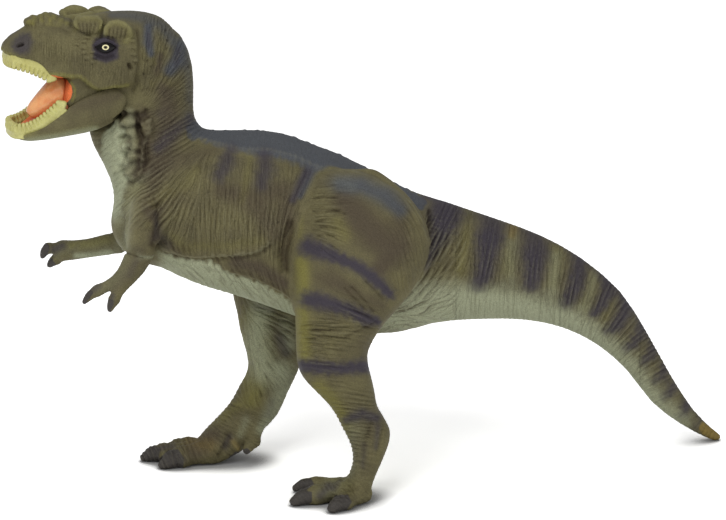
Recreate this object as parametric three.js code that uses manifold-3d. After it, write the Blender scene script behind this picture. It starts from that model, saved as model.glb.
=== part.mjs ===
// Toy dinosaur figure: a striding two-legged meat eater in moulded soft vinyl with a hinged lower jaw.
// Millimetres, +Z up. The head looks along -X and the figure's left side is on -Y.
// It stands on two feet and the tail tip. The skin is lofted whole and then parted along the seams
// where the mouldings plug together: head, trunk, tail, two legs, two forearms, and the parts of the mouth.
import * as THREE from 'three';
import { mergeVertices } from 'three/addons/utils/BufferGeometryUtils.js';
import Module from 'manifold-3d';

const wasm = await Module();
wasm.setup();

// Driving sizes of the body
const backLength = 100; // neck seam to tail seam, along the floor
const hipHeight = 100; // hip above the floor
const bodyWidth = 56; // across the ribs
const tailSweep = 24; // how far the tail tip swings to the right
const legSpread = 50; // between the two ankles
const thighWidth = 38; // across one thigh
const armLength = 40; // shoulder to wrist
const armThickness = 13; // across the upper arm
const chestSpread = 44; // between the two shoulders

// Driving sizes of the head
const headLength = 62; // nose tip to skull base
const headWidth = 40; // across the cheeks
const headYaw = 10; // degrees, the head turns to the figure's left
const jawClosing = 20; // degrees from the open rest pose until the rows of teeth nearly meet
const coreWidth = 25; // throat block between the jaw's two ears
const pinRadius = 1.6;
const pinLength = 28;

// Driving sizes of the small forms
const toothLength = 1.5;
const toothWidth = 1.9;
const gumWidth = 1.7;
const linerThickness = 1.6;
const eyeRadius = 4.2;
const wattleRadius = 3;
const nostrilRadius = 0.9;
const earRadius = 1.1;
const toeRadius = 4.6;
const fingerRadius = 2.8;
const soleFlat = 1; // depth that the soles and the tail tip are cut flat

// Fits between the mouldings
const seamGap = 0.3; // between two mouldings that are glued together
const gumGroove = 0.8; // round each row of teeth
const hingeGap = 0.5; // between the jaw and the skull it turns in
const pegRadius = 8; // hexagonal locating pegs of the head, tail and legs
const pegLength = 9;
const smallPegRadius = 2.4; // of the forearms
const smallPegLength = 5;
const hipSeam = 12; // from the middle to the flat root of each leg
const overrun = 2; // how far a cutting body passes the face it cuts
const sliver = 0.01; // facets thinner than this are merged

// Facets
const bodySides = 20;
const jawSides = 16;
const limbSides = 14;
const tongueSides = 12;
const armSides = 10;
const smallSides = 8;
const beadSides = 10;
const pegSides = 6;
const bandSides = 6; // round the teeth
const pocketSides = 12;
const arcSegments = 10;
const pocketChord = 0.4; // how far the pocket's flat facets cut inside its true curve

const sides = { left: -1, right: 1 };

const skinOlive = material(0x5f5b3c, 0.6);
const mouthOrange = material(0xd9622b, 0.35);
const tongueOrange = material(0xe88458, 0.3);
const toothIvory = material(0xcfd08a, 0.4);
const eyeBlack = material(0x14110d, 0.15);
const pinSteel = material(0x9a9a9a, 0.35, 1);

function material(color, roughness, metalness = 0) {
  return new THREE.MeshStandardMaterial({ color, roughness, metalness });
}

// Solids from rings and paths

// A closed solid from vertices and triangles, with its faces turned outwards.
function solidFrom(points, triangles) {
  const volume = triangles.reduce((sum, [a, b, c]) =>
    sum + points[a].dot(points[b].clone().cross(points[c])), 0);
  const facing = volume < 0 ? triangles.map(([a, b, c]) => [a, c, b]) : triangles;
  return new wasm.Manifold(new wasm.Mesh({
    numProp: 3,
    vertProperties: new Float32Array(points.flatMap((p) => [p.x, p.y, p.z])),
    triVerts: new Uint32Array(facing.flat()),
  }));
}

// A three.js geometry as a solid, with its shared vertices merged.
function solidOf(geometry) {
  const bare = geometry.clone();
  bare.deleteAttribute('normal');
  bare.deleteAttribute('uv');
  const merged = mergeVertices(bare);
  return new wasm.Manifold(new wasm.Mesh({
    numProp: 3,
    vertProperties: new Float32Array(merged.attributes.position.array),
    triVerts: new Uint32Array(merged.index.array),
  }));
}

function centreOf(ring) {
  return ring.reduce((sum, p) => sum.add(p), new THREE.Vector3()).divideScalar(ring.length);
}

// A solid through rings of equal count, closed by a fan at each end.
function loft(rings) {
  const count = rings[0].length;
  const points = rings.flat();
  const triangles = [];
  for (let i = 0; i < rings.length - 1; i++) {
    for (let k = 0; k < count; k++) {
      const next = (k + 1) % count;
      const [a, b] = [i * count + k, i * count + next];
      triangles.push([a, b, a + count], [b, b + count, a + count]);
    }
  }
  const ends = [[0, 0], [rings.length - 1, 1]];
  for (const [i, turned] of ends) {
    points.push(centreOf(rings[i]));
    for (let k = 0; k < count; k++) {
      const rim = [i * count + k, i * count + ((k + 1) % count)];
      if (turned) rim.reverse();
      triangles.push([rim[1], rim[0], points.length - 1]);
    }
  }
  return solidFrom(points, triangles);
}

// The row of a table at t from 0 to 1, on a smooth curve through all its rows.
function rowAt(rows, t) {
  const last = rows.length - 1;
  const i = Math.min(Math.floor(t * last), last - 1);
  const f = t * last - i;
  const [p, q, r, s] = [i - 1, i, i + 1, i + 2].map((k) => rows[Math.max(0, Math.min(last, k))]);
  return q.map((value, k) => {
    const slopeIn = (r[k] - p[k]) / 2;
    const slopeOut = (s[k] - value) / 2;
    const rise = r[k] - value;
    return value + f * slopeIn + f * f * (3 * rise - 2 * slopeIn - slopeOut)
      + f * f * f * (slopeIn + slopeOut - 2 * rise);
  });
}

// One cross-section between two points of the side view: a is the crest and b the belly.
// crest narrows the upper half into a ridge. upper and lower square the two halves: 1 is an ellipse,
// and a lower number is nearer to a box. grow adds a clearance all round.
const crestSharpness = 1.5;
const fleshRoundness = 0.85;
function section([ax, az, bx, bz, y, halfWidth], options) {
  const { count, crest = 0, upper = fleshRoundness, lower = fleshRoundness, grow = 0 } = options;
  const half = new THREE.Vector3(ax - bx, 0, az - bz).divideScalar(2);
  const middle = new THREE.Vector3((ax + bx) / 2, y, (az + bz) / 2);
  half.setLength(half.length() + grow);
  return Array.from({ length: count }, (_, k) => {
    const angle = (2 * Math.PI * k) / count;
    const [rise, reach] = [Math.cos(angle), Math.sin(angle)];
    const squareness = rise > 0 ? upper : lower;
    const up = Math.sign(rise) * Math.abs(rise) ** squareness;
    const flank = Math.sign(reach) * Math.abs(reach) ** squareness;
    const narrowed = 1 - crest * Math.max(0, up) ** crestSharpness;
    return middle.clone().addScaledVector(half, up)
      .add(new THREE.Vector3(0, flank * narrowed * (halfWidth + grow), 0));
  });
}

// A body whose side view has the crest and belly lines of a table of sections. A clearance in its options
// also moves its two ends.
function profiled(rows, steps, options) {
  const ringCount = (rows.length - 1) * steps;
  const rings = Array.from({ length: ringCount + 1 }, (_, i) =>
    section(rowAt(rows, i / ringCount), options));
  const ends = [[rings[0], rings[1]], [rings[ringCount], rings[ringCount - 1]]];
  for (const [end, neighbour] of ends) {
    const outwards = centreOf(end).sub(centreOf(neighbour)).normalize();
    for (const point of end) point.addScaledVector(outwards, options.grow ?? 0);
  }
  return loft(rings);
}

// A rounded limb along points [x, y, z, across, upright], with radii across and upright to its path.
// A path that rises steeply takes its level direction from Y, any other from the floor.
const steepShare = 0.6;
function limb(rows, { steps = 3, count = smallSides, grow = 0 }) {
  const ringCount = (rows.length - 1) * steps;
  const stations = Array.from({ length: ringCount + 1 }, (_, i) => rowAt(rows, i / ringCount));
  const spots = stations.map(([x, y, z]) => new THREE.Vector3(x, y, z));
  const steep = Math.abs(spots[ringCount].clone().sub(spots[0]).normalize().z) > steepShare;
  const rings = stations.map(([, , , across, upright], i) => {
    const [before, after] = [spots[Math.max(i - 1, 0)], spots[Math.min(i + 1, ringCount)]];
    const tangent = after.clone().sub(before).normalize();
    const level = steep ? new THREE.Vector3(0, 1, 0) : new THREE.Vector3(-tangent.y, tangent.x, 0);
    const up = new THREE.Vector3().crossVectors(level, tangent).normalize();
    const side = new THREE.Vector3().crossVectors(tangent, up);
    const atEnd = i === 0 ? -1 : i === ringCount ? 1 : 0;
    return Array.from({ length: count }, (_, k) => {
      const angle = (2 * Math.PI * k) / count;
      return spots[i].clone().addScaledVector(tangent, atEnd * grow)
        .addScaledVector(side, (across + grow) * Math.cos(angle))
        .addScaledVector(up, (upright + grow) * Math.sin(angle));
    });
  });
  return loft(rings);
}

// An ellipsoid at a place, with fewer bands from pole to pole than sides round it.
const bandShare = 0.7;
function blob([x, y, z], [rx, ry, rz], count = smallSides) {
  const sphere = new THREE.SphereGeometry(1, count, Math.round(count * bandShare));
  return solidOf(sphere.scale(rx, ry, rz).translate(x, y, z));
}

// A round or many-sided rod from one point to another.
function rod(from, to, radius, count) {
  const along = new THREE.Vector3().subVectors(to, from);
  const geometry = new THREE.CylinderGeometry(radius, radius, along.length(), count);
  const upright = new THREE.Vector3(0, 1, 0);
  const turn = new THREE.Quaternion().setFromUnitVectors(upright, along.clone().normalize());
  geometry.applyQuaternion(turn).translate(...from.clone().add(to).divideScalar(2));
  return solidOf(geometry);
}

function joined(solids) {
  return solids.reduce((whole, next) => whole.add(next));
}

// What lies on the side of a plane that its normal points to.
function beyond(solid, point, normal) {
  return solid.trimByPlane([normal.x, normal.y, normal.z], point.dot(normal));
}

// Two mouldings from one skin, parted at a plane: the one beyond it carries a peg, the other its socket.
function parted(skin, point, normal, peg) {
  const facing = normal.clone().normalize();
  const inner = point.clone().addScaledVector(facing, -peg.length);
  const outer = point.clone().addScaledVector(facing, overrun);
  const socketEnd = inner.clone().addScaledVector(facing, -seamGap);
  const plugged = beyond(skin, point.clone().addScaledVector(facing, seamGap), facing)
    .add(rod(inner, outer, peg.radius, pegSides));
  const holding = beyond(skin, point, facing.clone().negate())
    .subtract(rod(socketEnd, outer, peg.radius + seamGap, pegSides));
  return { plugged, holding };
}

// The skin of neck, trunk and tail. Shares: crest x and z, belly x and z, sideways and half width.
// x follows the back, z the hip height, sideways the tail's sweep and width the ribs.
const spineShares = [
  [-0.80, 1.890, -0.97, 1.690, 0, 0.25],
  [-0.692, 1.808, -1.02, 1.570, 0, 0.28],
  [-0.650, 1.69, -1.050, 1.450, 0, 0.285],
  [-0.648, 1.57, -1.015, 1.355, 0, 0.31],
  [-0.645, 1.487, -0.975, 1.27, 0, 0.34],
  [-0.60, 1.442, -0.958, 1.18, 0, 0.38],
  [-0.52, 1.438, -0.975, 1.09, 0, 0.43],
  [-0.44, 1.436, -0.955, 1.01, 0, 0.46],
  [-0.36, 1.430, -0.90, 0.950, 0, 0.48],
  [-0.27, 1.410, -0.80, 0.920, 0, 0.49],
  [-0.18, 1.370, -0.66, 0.845, 0, 0.49],
  [-0.08, 1.330, -0.50, 0.790, 0, 0.48],
  [0.02, 1.275, -0.33, 0.720, 0, 0.46],
  [0.12, 1.217, -0.15, 0.650, 0, 0.43],
  [0.21, 1.170, 0.00, 0.615, 0, 0.40],
  [0.30, 1.140, 0.14, 0.612, 0.02, 0.365],
  [0.40, 1.100, 0.28, 0.643, 0.06, 0.325],
  [0.55, 1.040, 0.47, 0.640, 0.15, 0.275],
  [0.72, 0.964, 0.65, 0.620, 0.28, 0.235],
  [0.89, 0.859, 0.815, 0.570, 0.41, 0.195],
  [1.064, 0.702, 0.97, 0.480, 0.56, 0.16],
  [1.19, 0.510, 1.105, 0.355, 0.70, 0.125],
  [1.30, 0.320, 1.22, 0.205, 0.82, 0.09],
  [1.405, 0.160, 1.35, 0.097, 0.92, 0.062],
  [1.50, 0.060, 1.475, 0.022, 0.99, 0.04],
  [1.535, 0.035, 1.525, 0.004, 1.01, 0.022],
];
const spineRows = spineShares.map(([ax, az, bx, bz, y, w]) => [
  ax * backLength, az * hipHeight, bx * backLength, bz * hipHeight, y * tailSweep, w * bodyWidth,
]);
const spineSteps = 2;
const spineCrest = 0.3;

function makeSpine() {
  return profiled(spineRows, spineSteps, { count: bodySides, crest: spineCrest });
}

// The lumps on both sides of the throat. Shares: x of the back length, z of the hip height, sideways of the
// chest's spread, and the size of the lump.
const wattleFlatShare = 0.8; // how thick a lump is for its height
const wattleShares = [
  [-0.894, 1.550, 0.335, 1],
  [-0.838, 1.562, 0.345, 0.9],
  [-0.906, 1.505, 0.340, 1],
  [-0.828, 1.512, 0.360, 0.9],
  [-0.885, 1.460, 0.360, 0.95],
  [-0.837, 1.460, 0.380, 0.85],
  [-0.890, 1.415, 0.370, 0.9],
  [-0.880, 1.371, 0.385, 0.9],
];
function makeWattles() {
  return joined(Object.values(sides).flatMap((way) => wattleShares.map(([x, z, y, size]) => {
    const radius = size * wattleRadius;
    return blob([x * backLength, way * y * chestSpread, z * hipHeight],
      [radius, radius * wattleFlatShare, radius], bandSides);
  })));
}

// Legs. Shares: front x and z and rear x and z of the hip height, sideways of the spread, and half width
// of the thigh.
const legShares = {
  left: [
    [-0.15, 1.315, 0.03, 1.31, 0.28, 0.16],
    [-0.24, 1.22, 0.16, 1.20, 0.34, 0.40],
    [-0.30, 1.09, 0.23, 1.07, 0.40, 0.48],
    [-0.31, 0.96, 0.215, 0.95, 0.44, 0.50],
    [-0.30, 0.84, 0.145, 0.835, 0.48, 0.46],
    [-0.297, 0.73, 0.045, 0.73, 0.505, 0.41],
    [-0.295, 0.63, -0.02, 0.62, 0.52, 0.37],
    [-0.285, 0.545, -0.005, 0.52, 0.53, 0.345],
    [-0.235, 0.48, 0.01, 0.455, 0.52, 0.31],
    [-0.165, 0.40, 0.02, 0.39, 0.51, 0.26],
    [-0.12, 0.31, 0.073, 0.292, 0.50, 0.225],
    [-0.083, 0.23, 0.055, 0.21, 0.50, 0.20],
    [-0.075, 0.155, 0.015, 0.12, 0.50, 0.20],
    [-0.095, 0.09, -0.015, 0.045, 0.50, 0.235],
    [-0.10, 0.03, -0.045, 0.00, 0.50, 0.18],
  ],
  right: [
    [-0.20, 1.235, -0.02, 1.225, 0.24, 0.16],
    [-0.30, 1.16, 0.08, 1.13, 0.32, 0.38],
    [-0.37, 1.06, 0.14, 1.02, 0.40, 0.47],
    [-0.43, 0.96, 0.11, 0.91, 0.44, 0.49],
    [-0.48, 0.84, 0.02, 0.77, 0.48, 0.45],
    [-0.495, 0.73, -0.09, 0.64, 0.50, 0.40],
    [-0.475, 0.645, -0.16, 0.54, 0.51, 0.355],
    [-0.46, 0.555, -0.20, 0.46, 0.52, 0.315],
    [-0.435, 0.46, -0.230, 0.38, 0.52, 0.275],
    [-0.433, 0.385, -0.27, 0.295, 0.53, 0.24],
    [-0.46, 0.335, -0.312, 0.20, 0.54, 0.22],
    [-0.505, 0.25, -0.38, 0.13, 0.55, 0.22],
    [-0.56, 0.185, -0.44, 0.07, 0.56, 0.235],
    [-0.61, 0.13, -0.50, 0.03, 0.57, 0.25],
    [-0.65, 0.08, -0.56, 0.00, 0.58, 0.21],
  ],
};
const legSteps = 2;
const hipShares = [-0.05, 0, 1.02]; // the hip joint's peg, in the same shares

// Toes. Shares: thickness of a toe, then root, knuckle and claw tip as x and z of the hip height and
// sideways of the spread. The roots lie inside the ball of the foot; the hind toe hangs behind the ankle.
const toeShares = {
  left: {
    inner: {
      size: 0.86,
      root: [-0.03, 0.44, 0.055],
      knuckle: [-0.212, 0.29, 0.040],
      tip: [-0.300, 0.25, 0.020],
    },
    middle: {
      size: 1,
      root: [-0.045, 0.50, 0.055],
      knuckle: [-0.230, 0.54, 0.044],
      tip: [-0.324, 0.575, 0.018],
    },
    outer: {
      size: 0.96,
      root: [-0.03, 0.54, 0.055],
      knuckle: [-0.125, 0.70, 0.040],
      tip: [-0.186, 0.78, 0.018],
    },
    hind: {
      size: 0.7,
      root: [-0.005, 0.40, 0.19],
      knuckle: [-0.02, 0.25, 0.11],
      tip: [-0.04, 0.22, 0.045],
    },
  },
  right: {
    inner: {
      size: 1.16,
      root: [-0.565, 0.51, 0.065],
      knuckle: [-0.715, 0.46, 0.048],
      tip: [-0.794, 0.42, 0.010],
    },
    middle: {
      size: 1.04,
      root: [-0.58, 0.56, 0.062],
      knuckle: [-0.780, 0.60, 0.046],
      tip: [-0.864, 0.63, 0.016],
    },
    outer: {
      size: 0.9,
      root: [-0.55, 0.62, 0.060],
      knuckle: [-0.67, 0.80, 0.040],
      tip: [-0.755, 0.90, 0.010],
    },
    hind: {
      size: 0.78,
      root: [-0.40, 0.44, 0.19],
      knuckle: [-0.420, 0.36, 0.115],
      tip: [-0.455, 0.34, 0.070],
    },
  },
};
// A toe's radius along it, as shares of its full radius, and where its pads and its claw begin, as shares
// of the stretch from root to knuckle or from knuckle to tip.
const rootShare = 1.12;
const padShare = 0.8;
const knuckleShare = 0.98;
const cuticleShare = 0.67;
const clawHeelShare = 0.5;
const clawRootShare = 0.82;
const clawMiddleShare = 0.72;
const clawTipShare = 0.4;
const clawArchShare = 0.25; // how far the claw's back is arched up
const firstPadShare = 0.35;
const lastPadShare = 0.65;
const cuticleReachShare = 0.25;
const clawStartShare = 0.8;

function footPoint(side, [x, y, z]) {
  return new THREE.Vector3(x * hipHeight, sides[side] * y * legSpread, z * hipHeight);
}

// A toe or finger: a jointed limb from root to knuckle, and a claw that curves down to its tip.
function digit({ root, knuckle, tip }, radius, grow) {
  const row = (p, share) => [p.x, p.y, p.z, radius * share, radius * share];
  const between = (a, b, reach, share) => row(a.clone().lerp(b, reach), share);
  const clawArch = knuckle.clone().lerp(tip, 1 / 2);
  clawArch.z += radius * clawArchShare;
  const flesh = limb([
    row(root, rootShare),
    between(root, knuckle, firstPadShare, 1),
    between(root, knuckle, lastPadShare, padShare),
    row(knuckle, knuckleShare),
    between(knuckle, tip, cuticleReachShare, cuticleShare),
  ], { steps: 1, grow });
  const horn = limb([
    between(root, knuckle, clawStartShare, clawHeelShare),
    row(knuckle, clawRootShare),
    row(clawArch, clawMiddleShare),
    row(tip, clawTipShare),
  ], { steps: 1, count: smallSides, grow });
  return flesh.add(horn);
}

// The three points of a digit, placed by a function of one of them.
function digitPoints({ root, knuckle, tip }, place) {
  return { root: place(root), knuckle: place(knuckle), tip: place(tip) };
}

function makeLeg(side, grow) {
  const rows = legShares[side].map(([fx, fz, rx, rz, y, w]) => [
    fx * hipHeight, fz * hipHeight, rx * hipHeight, rz * hipHeight,
    sides[side] * y * legSpread, w * thighWidth,
  ]);
  const shank = profiled(rows, legSteps, { count: limbSides, grow });
  const toes = Object.values(toeShares[side]).map((toe) =>
    digit(digitPoints(toe, (shares) => footPoint(side, shares)), toe.size * toeRadius, grow));
  return joined([shank, ...toes]);
}

// Arms. Shares of the arm's length from the shoulder: x, sideways and z, then the thickness.
const shoulderShares = [-0.82, 1.19]; // of the back and of the hip height
const upperArmShares = {
  left: [
    [0.08, -0.12, 0.06, 0.66],
    [-0.04, 0.06, -0.08, 0.60],
    [-0.08, 0.13, -0.20, 0.52],
    [-0.12, 0.14, -0.30, 0.46],
    [-0.15, 0.14, -0.40, 0.42],
  ],
  right: [
    [0.10, -0.12, 0.06, 0.64],
    [-0.02, 0.06, -0.20, 0.58],
    [-0.08, 0.10, -0.42, 0.50],
    [-0.15, 0.10, -0.58, 0.42],
    [-0.33, 0.10, -0.625, 0.36],
  ],
};
const forearmShares = {
  left: [
    [-0.14, 0.14, -0.34, 0.43],
    [-0.16, 0.14, -0.41, 0.41],
    [-0.215, 0.14, -0.51, 0.375],
    [-0.285, 0.14, -0.605, 0.32],
    [-0.345, 0.135, -0.665, 0.31],
    [-0.385, 0.13, -0.70, 0.2],
  ],
  right: [
    [-0.27, 0.10, -0.615, 0.37],
    [-0.42, 0.10, -0.64, 0.33],
    [-0.57, 0.10, -0.665, 0.30],
    [-0.72, 0.10, -0.68, 0.31],
    [-0.85, 0.10, -0.68, 0.34],
    [-0.92, 0.10, -0.68, 0.23],
  ],
};
const upperArmSteps = 2;
const elbowShare = 0.5; // of the forearm's first stretch, where the seam crosses it
const fingerShares = {
  left: {
    upper: { root: [-0.31, 0.12, -0.63], knuckle: [-0.56, 0.08, -0.75], tip: [-0.695, 0.08, -0.875] },
    lower: { root: [-0.31, 0.16, -0.645], knuckle: [-0.405, 0.19, -0.82], tip: [-0.452, 0.20, -0.935] },
  },
  right: {
    upper: { root: [-0.81, 0.08, -0.66], knuckle: [-0.985, 0.05, -0.635], tip: [-1.05, 0.04, -0.75] },
    lower: { root: [-0.80, 0.13, -0.70], knuckle: [-0.9125, 0.12, -0.785], tip: [-0.9875, 0.12, -0.86] },
  },
};

function armPoint(side, [x, y, z]) {
  return new THREE.Vector3(
    shoulderShares[0] * backLength + x * armLength,
    sides[side] * (chestSpread / 2 + y * armLength),
    shoulderShares[1] * hipHeight + z * armLength);
}

function armRows(side, shares) {
  return shares.map((row) => {
    const p = armPoint(side, row);
    return [p.x, p.y, p.z, row[3] * armThickness, row[3] * armThickness];
  });
}

// The arm's seam crosses the forearm just under the elbow.
function elbowPlane(side) {
  const [start, end] = forearmShares[side].slice(0, 2).map((row) => armPoint(side, row));
  return { point: start.clone().lerp(end, elbowShare), normal: end.sub(start) };
}

function makeUpperArm(side, grow) {
  return limb(armRows(side, upperArmShares[side]), { steps: upperArmSteps, count: armSides, grow });
}

function makeForearm(side) {
  const fingers = Object.values(fingerShares[side]).map((finger) =>
    digit(digitPoints(finger, (shares) => armPoint(side, shares)), fingerRadius, 0));
  return joined([limb(armRows(side, forearmShares[side]), { steps: 1, count: armSides }), ...fingers]);
}

// The head. Its own frame has its origin at the skull base, before the yaw. Shares of the head's length:
// crest x and z, lip x and z, then the half width as a share of the head's width.
const skullShares = [
  [-0.998, 0.244, -1.004, 0.192, 0.09],
  [-0.980, 0.268, -0.990, 0.175, 0.18],
  [-0.930, 0.302, -0.955, 0.163, 0.24],
  [-0.840, 0.358, -0.873, 0.138, 0.28],
  [-0.765, 0.390, -0.805, 0.110, 0.31],
  [-0.680, 0.400, -0.725, 0.065, 0.34],
  [-0.600, 0.390, -0.640, 0.042, 0.38],
  [-0.510, 0.394, -0.565, 0.018, 0.43],
  [-0.420, 0.406, -0.500, -0.034, 0.465],
  [-0.330, 0.413, -0.420, -0.030, 0.485],
  [-0.230, 0.413, -0.330, -0.022, 0.465],
  [-0.130, 0.405, -0.250, 0.000, 0.405],
  [-0.030, 0.370, -0.150, 0.040, 0.345],
  [0.035, 0.310, -0.050, 0.080, 0.27],
];
const mouthShares = [
  [-0.920, 0.250, -0.945, 0.080, 0.12],
  [-0.870, 0.275, -0.905, 0.040, 0.19],
  [-0.780, 0.290, -0.825, 0.000, 0.225],
  [-0.680, 0.290, -0.735, -0.060, 0.26],
  [-0.590, 0.285, -0.655, -0.110, 0.285],
  [-0.520, 0.270, -0.600, -0.130, 0.30],
];
const headPivotShares = [-0.75, 1.65]; // of the back and of the hip height
const hingeShares = [-0.400, -0.085]; // of the head's length, in the head's frame
const browShares = [ // x, z, then length, width and height
  [-0.520, 0.370, 0.100, 0.060, 0.056],
  [-0.348, 0.343, 0.098, 0.064, 0.068],
];
const browSpreadShares = [0.31, 0.375]; // of the head's width, for each pair of brows
const nasalShares = [ // the same, along the middle of the snout
  [-0.80, 0.378, 0.075, 0.075, 0.030],
  [-0.70, 0.392, 0.085, 0.085, 0.030],
];
const eyeShares = [-0.438, 0.257, 0.405]; // x and z of the head's length, sideways of its width
const nostrilShares = [-0.915, 0.270, 0.225];
const earShares = [-0.295, 0.125, 0.475];
const eyeRoundness = 0.62; // its height and depth against its length
const skullSteps = 2;
const jawSteps = 1;
const mouthSteps = 1;

function headRows(shares) {
  return shares.map(([ax, az, bx, bz, w]) =>
    [ax * headLength, az * headLength, bx * headLength, bz * headLength, 0, w * headWidth]);
}

const hinge = new THREE.Vector3(hingeShares[0] * headLength, 0, hingeShares[1] * headLength);
const headFrame = new THREE.Matrix4().makeRotationZ(THREE.MathUtils.degToRad(headYaw))
  .setPosition(headPivotShares[0] * backLength, 0, headPivotShares[1] * hipHeight);

function placed(solid) {
  return solid.transform(headFrame.elements);
}

// A solid of the head's frame turned about the jaw hinge, in degrees of closing.
function turned(solid, closing) {
  const turn = new THREE.Matrix4().makeTranslation(hinge.x, hinge.y, hinge.z)
    .multiply(new THREE.Matrix4().makeRotationY(THREE.MathUtils.degToRad(closing)))
    .multiply(new THREE.Matrix4().makeTranslation(-hinge.x, -hinge.y, -hinge.z));
  return solid.transform(turn.elements);
}

// The space that a solid sweeps as the jaw closes, or as the skull turns past the jaw.
const sweepSteps = 2;
function swept(solid, closing) {
  return joined(Array.from({ length: sweepSteps + 1 }, (_, i) =>
    turned(solid, (closing * i) / sweepSteps)));
}

// The lower jaw from its chin to the ears round the hinge, and the trough in it, in the same shares.
const jawShares = [
  [-1.000, -0.230, -1.002, -0.264, 0.09],
  [-0.988, -0.235, -0.982, -0.294, 0.18],
  [-0.955, -0.243, -0.935, -0.315, 0.25],
  [-0.900, -0.238, -0.875, -0.325, 0.29],
  [-0.820, -0.205, -0.795, -0.322, 0.325],
  [-0.740, -0.145, -0.705, -0.316, 0.35],
  [-0.660, -0.075, -0.615, -0.308, 0.375],
  [-0.580, -0.035, -0.535, -0.298, 0.39],
  [-0.490, -0.005, -0.450, -0.280, 0.40],
  [-0.410, 0.025, -0.380, -0.250, 0.40],
  [-0.345, 0.005, -0.320, -0.195, 0.39],
  [-0.300, -0.045, -0.300, -0.120, 0.38],
];
const troughShares = [
  [-0.970, -0.150, -0.965, -0.280, 0.13],
  [-0.900, -0.140, -0.895, -0.285, 0.21],
  [-0.800, -0.110, -0.790, -0.270, 0.245],
  [-0.700, -0.060, -0.680, -0.250, 0.27],
  [-0.600, 0.000, -0.580, -0.235, 0.29],
];

// The throat block that the jaw's ears straddle: an arc in front of the hinge, a smaller one under it.
// Both arcs run from one angle to another, in degrees.
const coreFrontArc = [120, 188];
const coreUnderArc = [240, 360];
const coreRadiusShare = 0.258; // of the head's length, in front of the hinge
const coreRadius = coreRadiusShare * headLength;
const coreUnderShare = 0.42; // of the block's radius, under the hinge
const coreBackShare = 0.6; // of the block's radius, how high its back stands
function makeCore(grow) {
  const radius = coreRadius + grow;
  const underRadius = coreRadius * coreUnderShare + grow;
  const profile = new THREE.Shape();
  profile.absarc(0, 0, radius, ...coreFrontArc.map(THREE.MathUtils.degToRad), false);
  profile.absarc(0, 0, underRadius, ...coreUnderArc.map(THREE.MathUtils.degToRad), false);
  profile.lineTo(underRadius, radius * coreBackShare);
  const depth = coreWidth + 2 * grow;
  const settings = { depth, bevelEnabled: false, curveSegments: arcSegments };
  const geometry = new THREE.ExtrudeGeometry(profile, settings)
    .rotateX(Math.PI / 2).translate(hinge.x, depth / 2, hinge.z);
  return solidOf(geometry);
}

function makePin(grow) {
  const half = new THREE.Vector3(0, pinLength / 2 + grow, 0);
  return rod(hinge.clone().sub(half), hinge.clone().add(half), pinRadius + grow, beadSides);
}

// The U-shaped line of a row of teeth, just inside the lip. rows are the sections of the skull or the jaw,
// lip gives the x and z of the lip of one, and the line runs from one share of the table to another.
const rowInsetShare = 0.0435; // of the head's length, from the outside of the lip to the middle of the teeth
const rowInset = rowInsetShare * headLength;
const frontBowShare = 0.5; // of the inset, how far the middle of the row bows forward
const lineStops = 5;
function toothLine(rows, lip, [from, to]) {
  const half = Array.from({ length: lineStops }, (_, i) => {
    const row = rowAt(rows, from + ((to - from) * i) / (lineStops - 1));
    const [x, z] = lip(row);
    return new THREE.Vector3(x, Math.max(row[5] - rowInset, 0), z);
  });
  const front = half[0].clone();
  front.y = 0;
  front.x -= rowInset * frontBowShare;
  const mirrored = half.map((p) => new THREE.Vector3(p.x, -p.y, p.z));
  return new THREE.CatmullRomCurve3([...mirrored.reverse(), front, ...half]);
}

// A row of teeth fused into one ribbed band along a line. way is 1 for a lower row, -1 for an upper.
const gumSunkShare = 0.33; // of its height, how far its middle lies inside the lip
const gumHeightShare = 0.058; // of the head's length
const gumHeight = gumHeightShare * headLength;
function makeTeeth(line, way, count) {
  const stations = 2 * count;
  return limb(line.getSpacedPoints(stations).map((p, i) => {
    const crown = i % 2;
    const height = gumHeight + crown * toothLength;
    const rise = way * ((height - gumHeight) / 2 - gumHeight * gumSunkShare);
    return [p.x, p.y, p.z + rise, (crown ? toothWidth : gumWidth) / 2, height / 2];
  }), { steps: 1, count: bandSides });
}

// The groove in the lip that a row of teeth stands in.
const grooveStops = 18;
function makeGroove(line, way) {
  return limb(line.getSpacedPoints(grooveStops).map((p) => [
    p.x, p.y, p.z - way * gumHeight * gumSunkShare, gumWidth / 2, gumHeight / 2,
  ]), { steps: 1, count: bandSides, grow: gumGroove });
}

// The tongue, from its tip to the thick root in front of the throat block. Shares of the head's length for
// x, z and the half height, and of its width for the half width between them.
const tongueShares = [
  [-0.845, -0.175, 0.055, 0.022],
  [-0.815, -0.155, 0.090, 0.040],
  [-0.765, -0.120, 0.120, 0.055],
  [-0.705, -0.078, 0.150, 0.072],
  [-0.655, -0.045, 0.175, 0.088],
  [-0.618, -0.040, 0.140, 0.075],
];

function makeTongue(grow) {
  return limb(tongueShares.map(([x, z, across, upright]) => [
    x * headLength, 0, z * headLength, across * headWidth, upright * headLength,
  ]), { steps: 1, count: tongueSides, grow });
}

// The parts of the head, in the head's frame. The shares of a tooth line are of its table of sections.
const skullRows = headRows(skullShares);
const jawBodyRows = headRows(jawShares);
const skullOptions = { count: bodySides, crest: 0.12, lower: 0.45 };
const jawOptions = { count: jawSides, upper: 0.45, lower: 0.75 };
const upperLineShares = [0.16, 0.38];
const lowerLineShares = [0.20, 0.525];
const upperLine = toothLine(skullRows, (row) => [row[2], row[3]], upperLineShares);
const lowerLine = toothLine(jawBodyRows, (row) => [row[0], row[1]], lowerLineShares);
const upperTeethCount = 26;
const lowerTeethCount = 34;

function headBump([x, z, rx, ry, rz], y) {
  return blob([x * headLength, y, z * headLength], [rx * headLength, ry * headLength, rz * headLength]);
}

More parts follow.
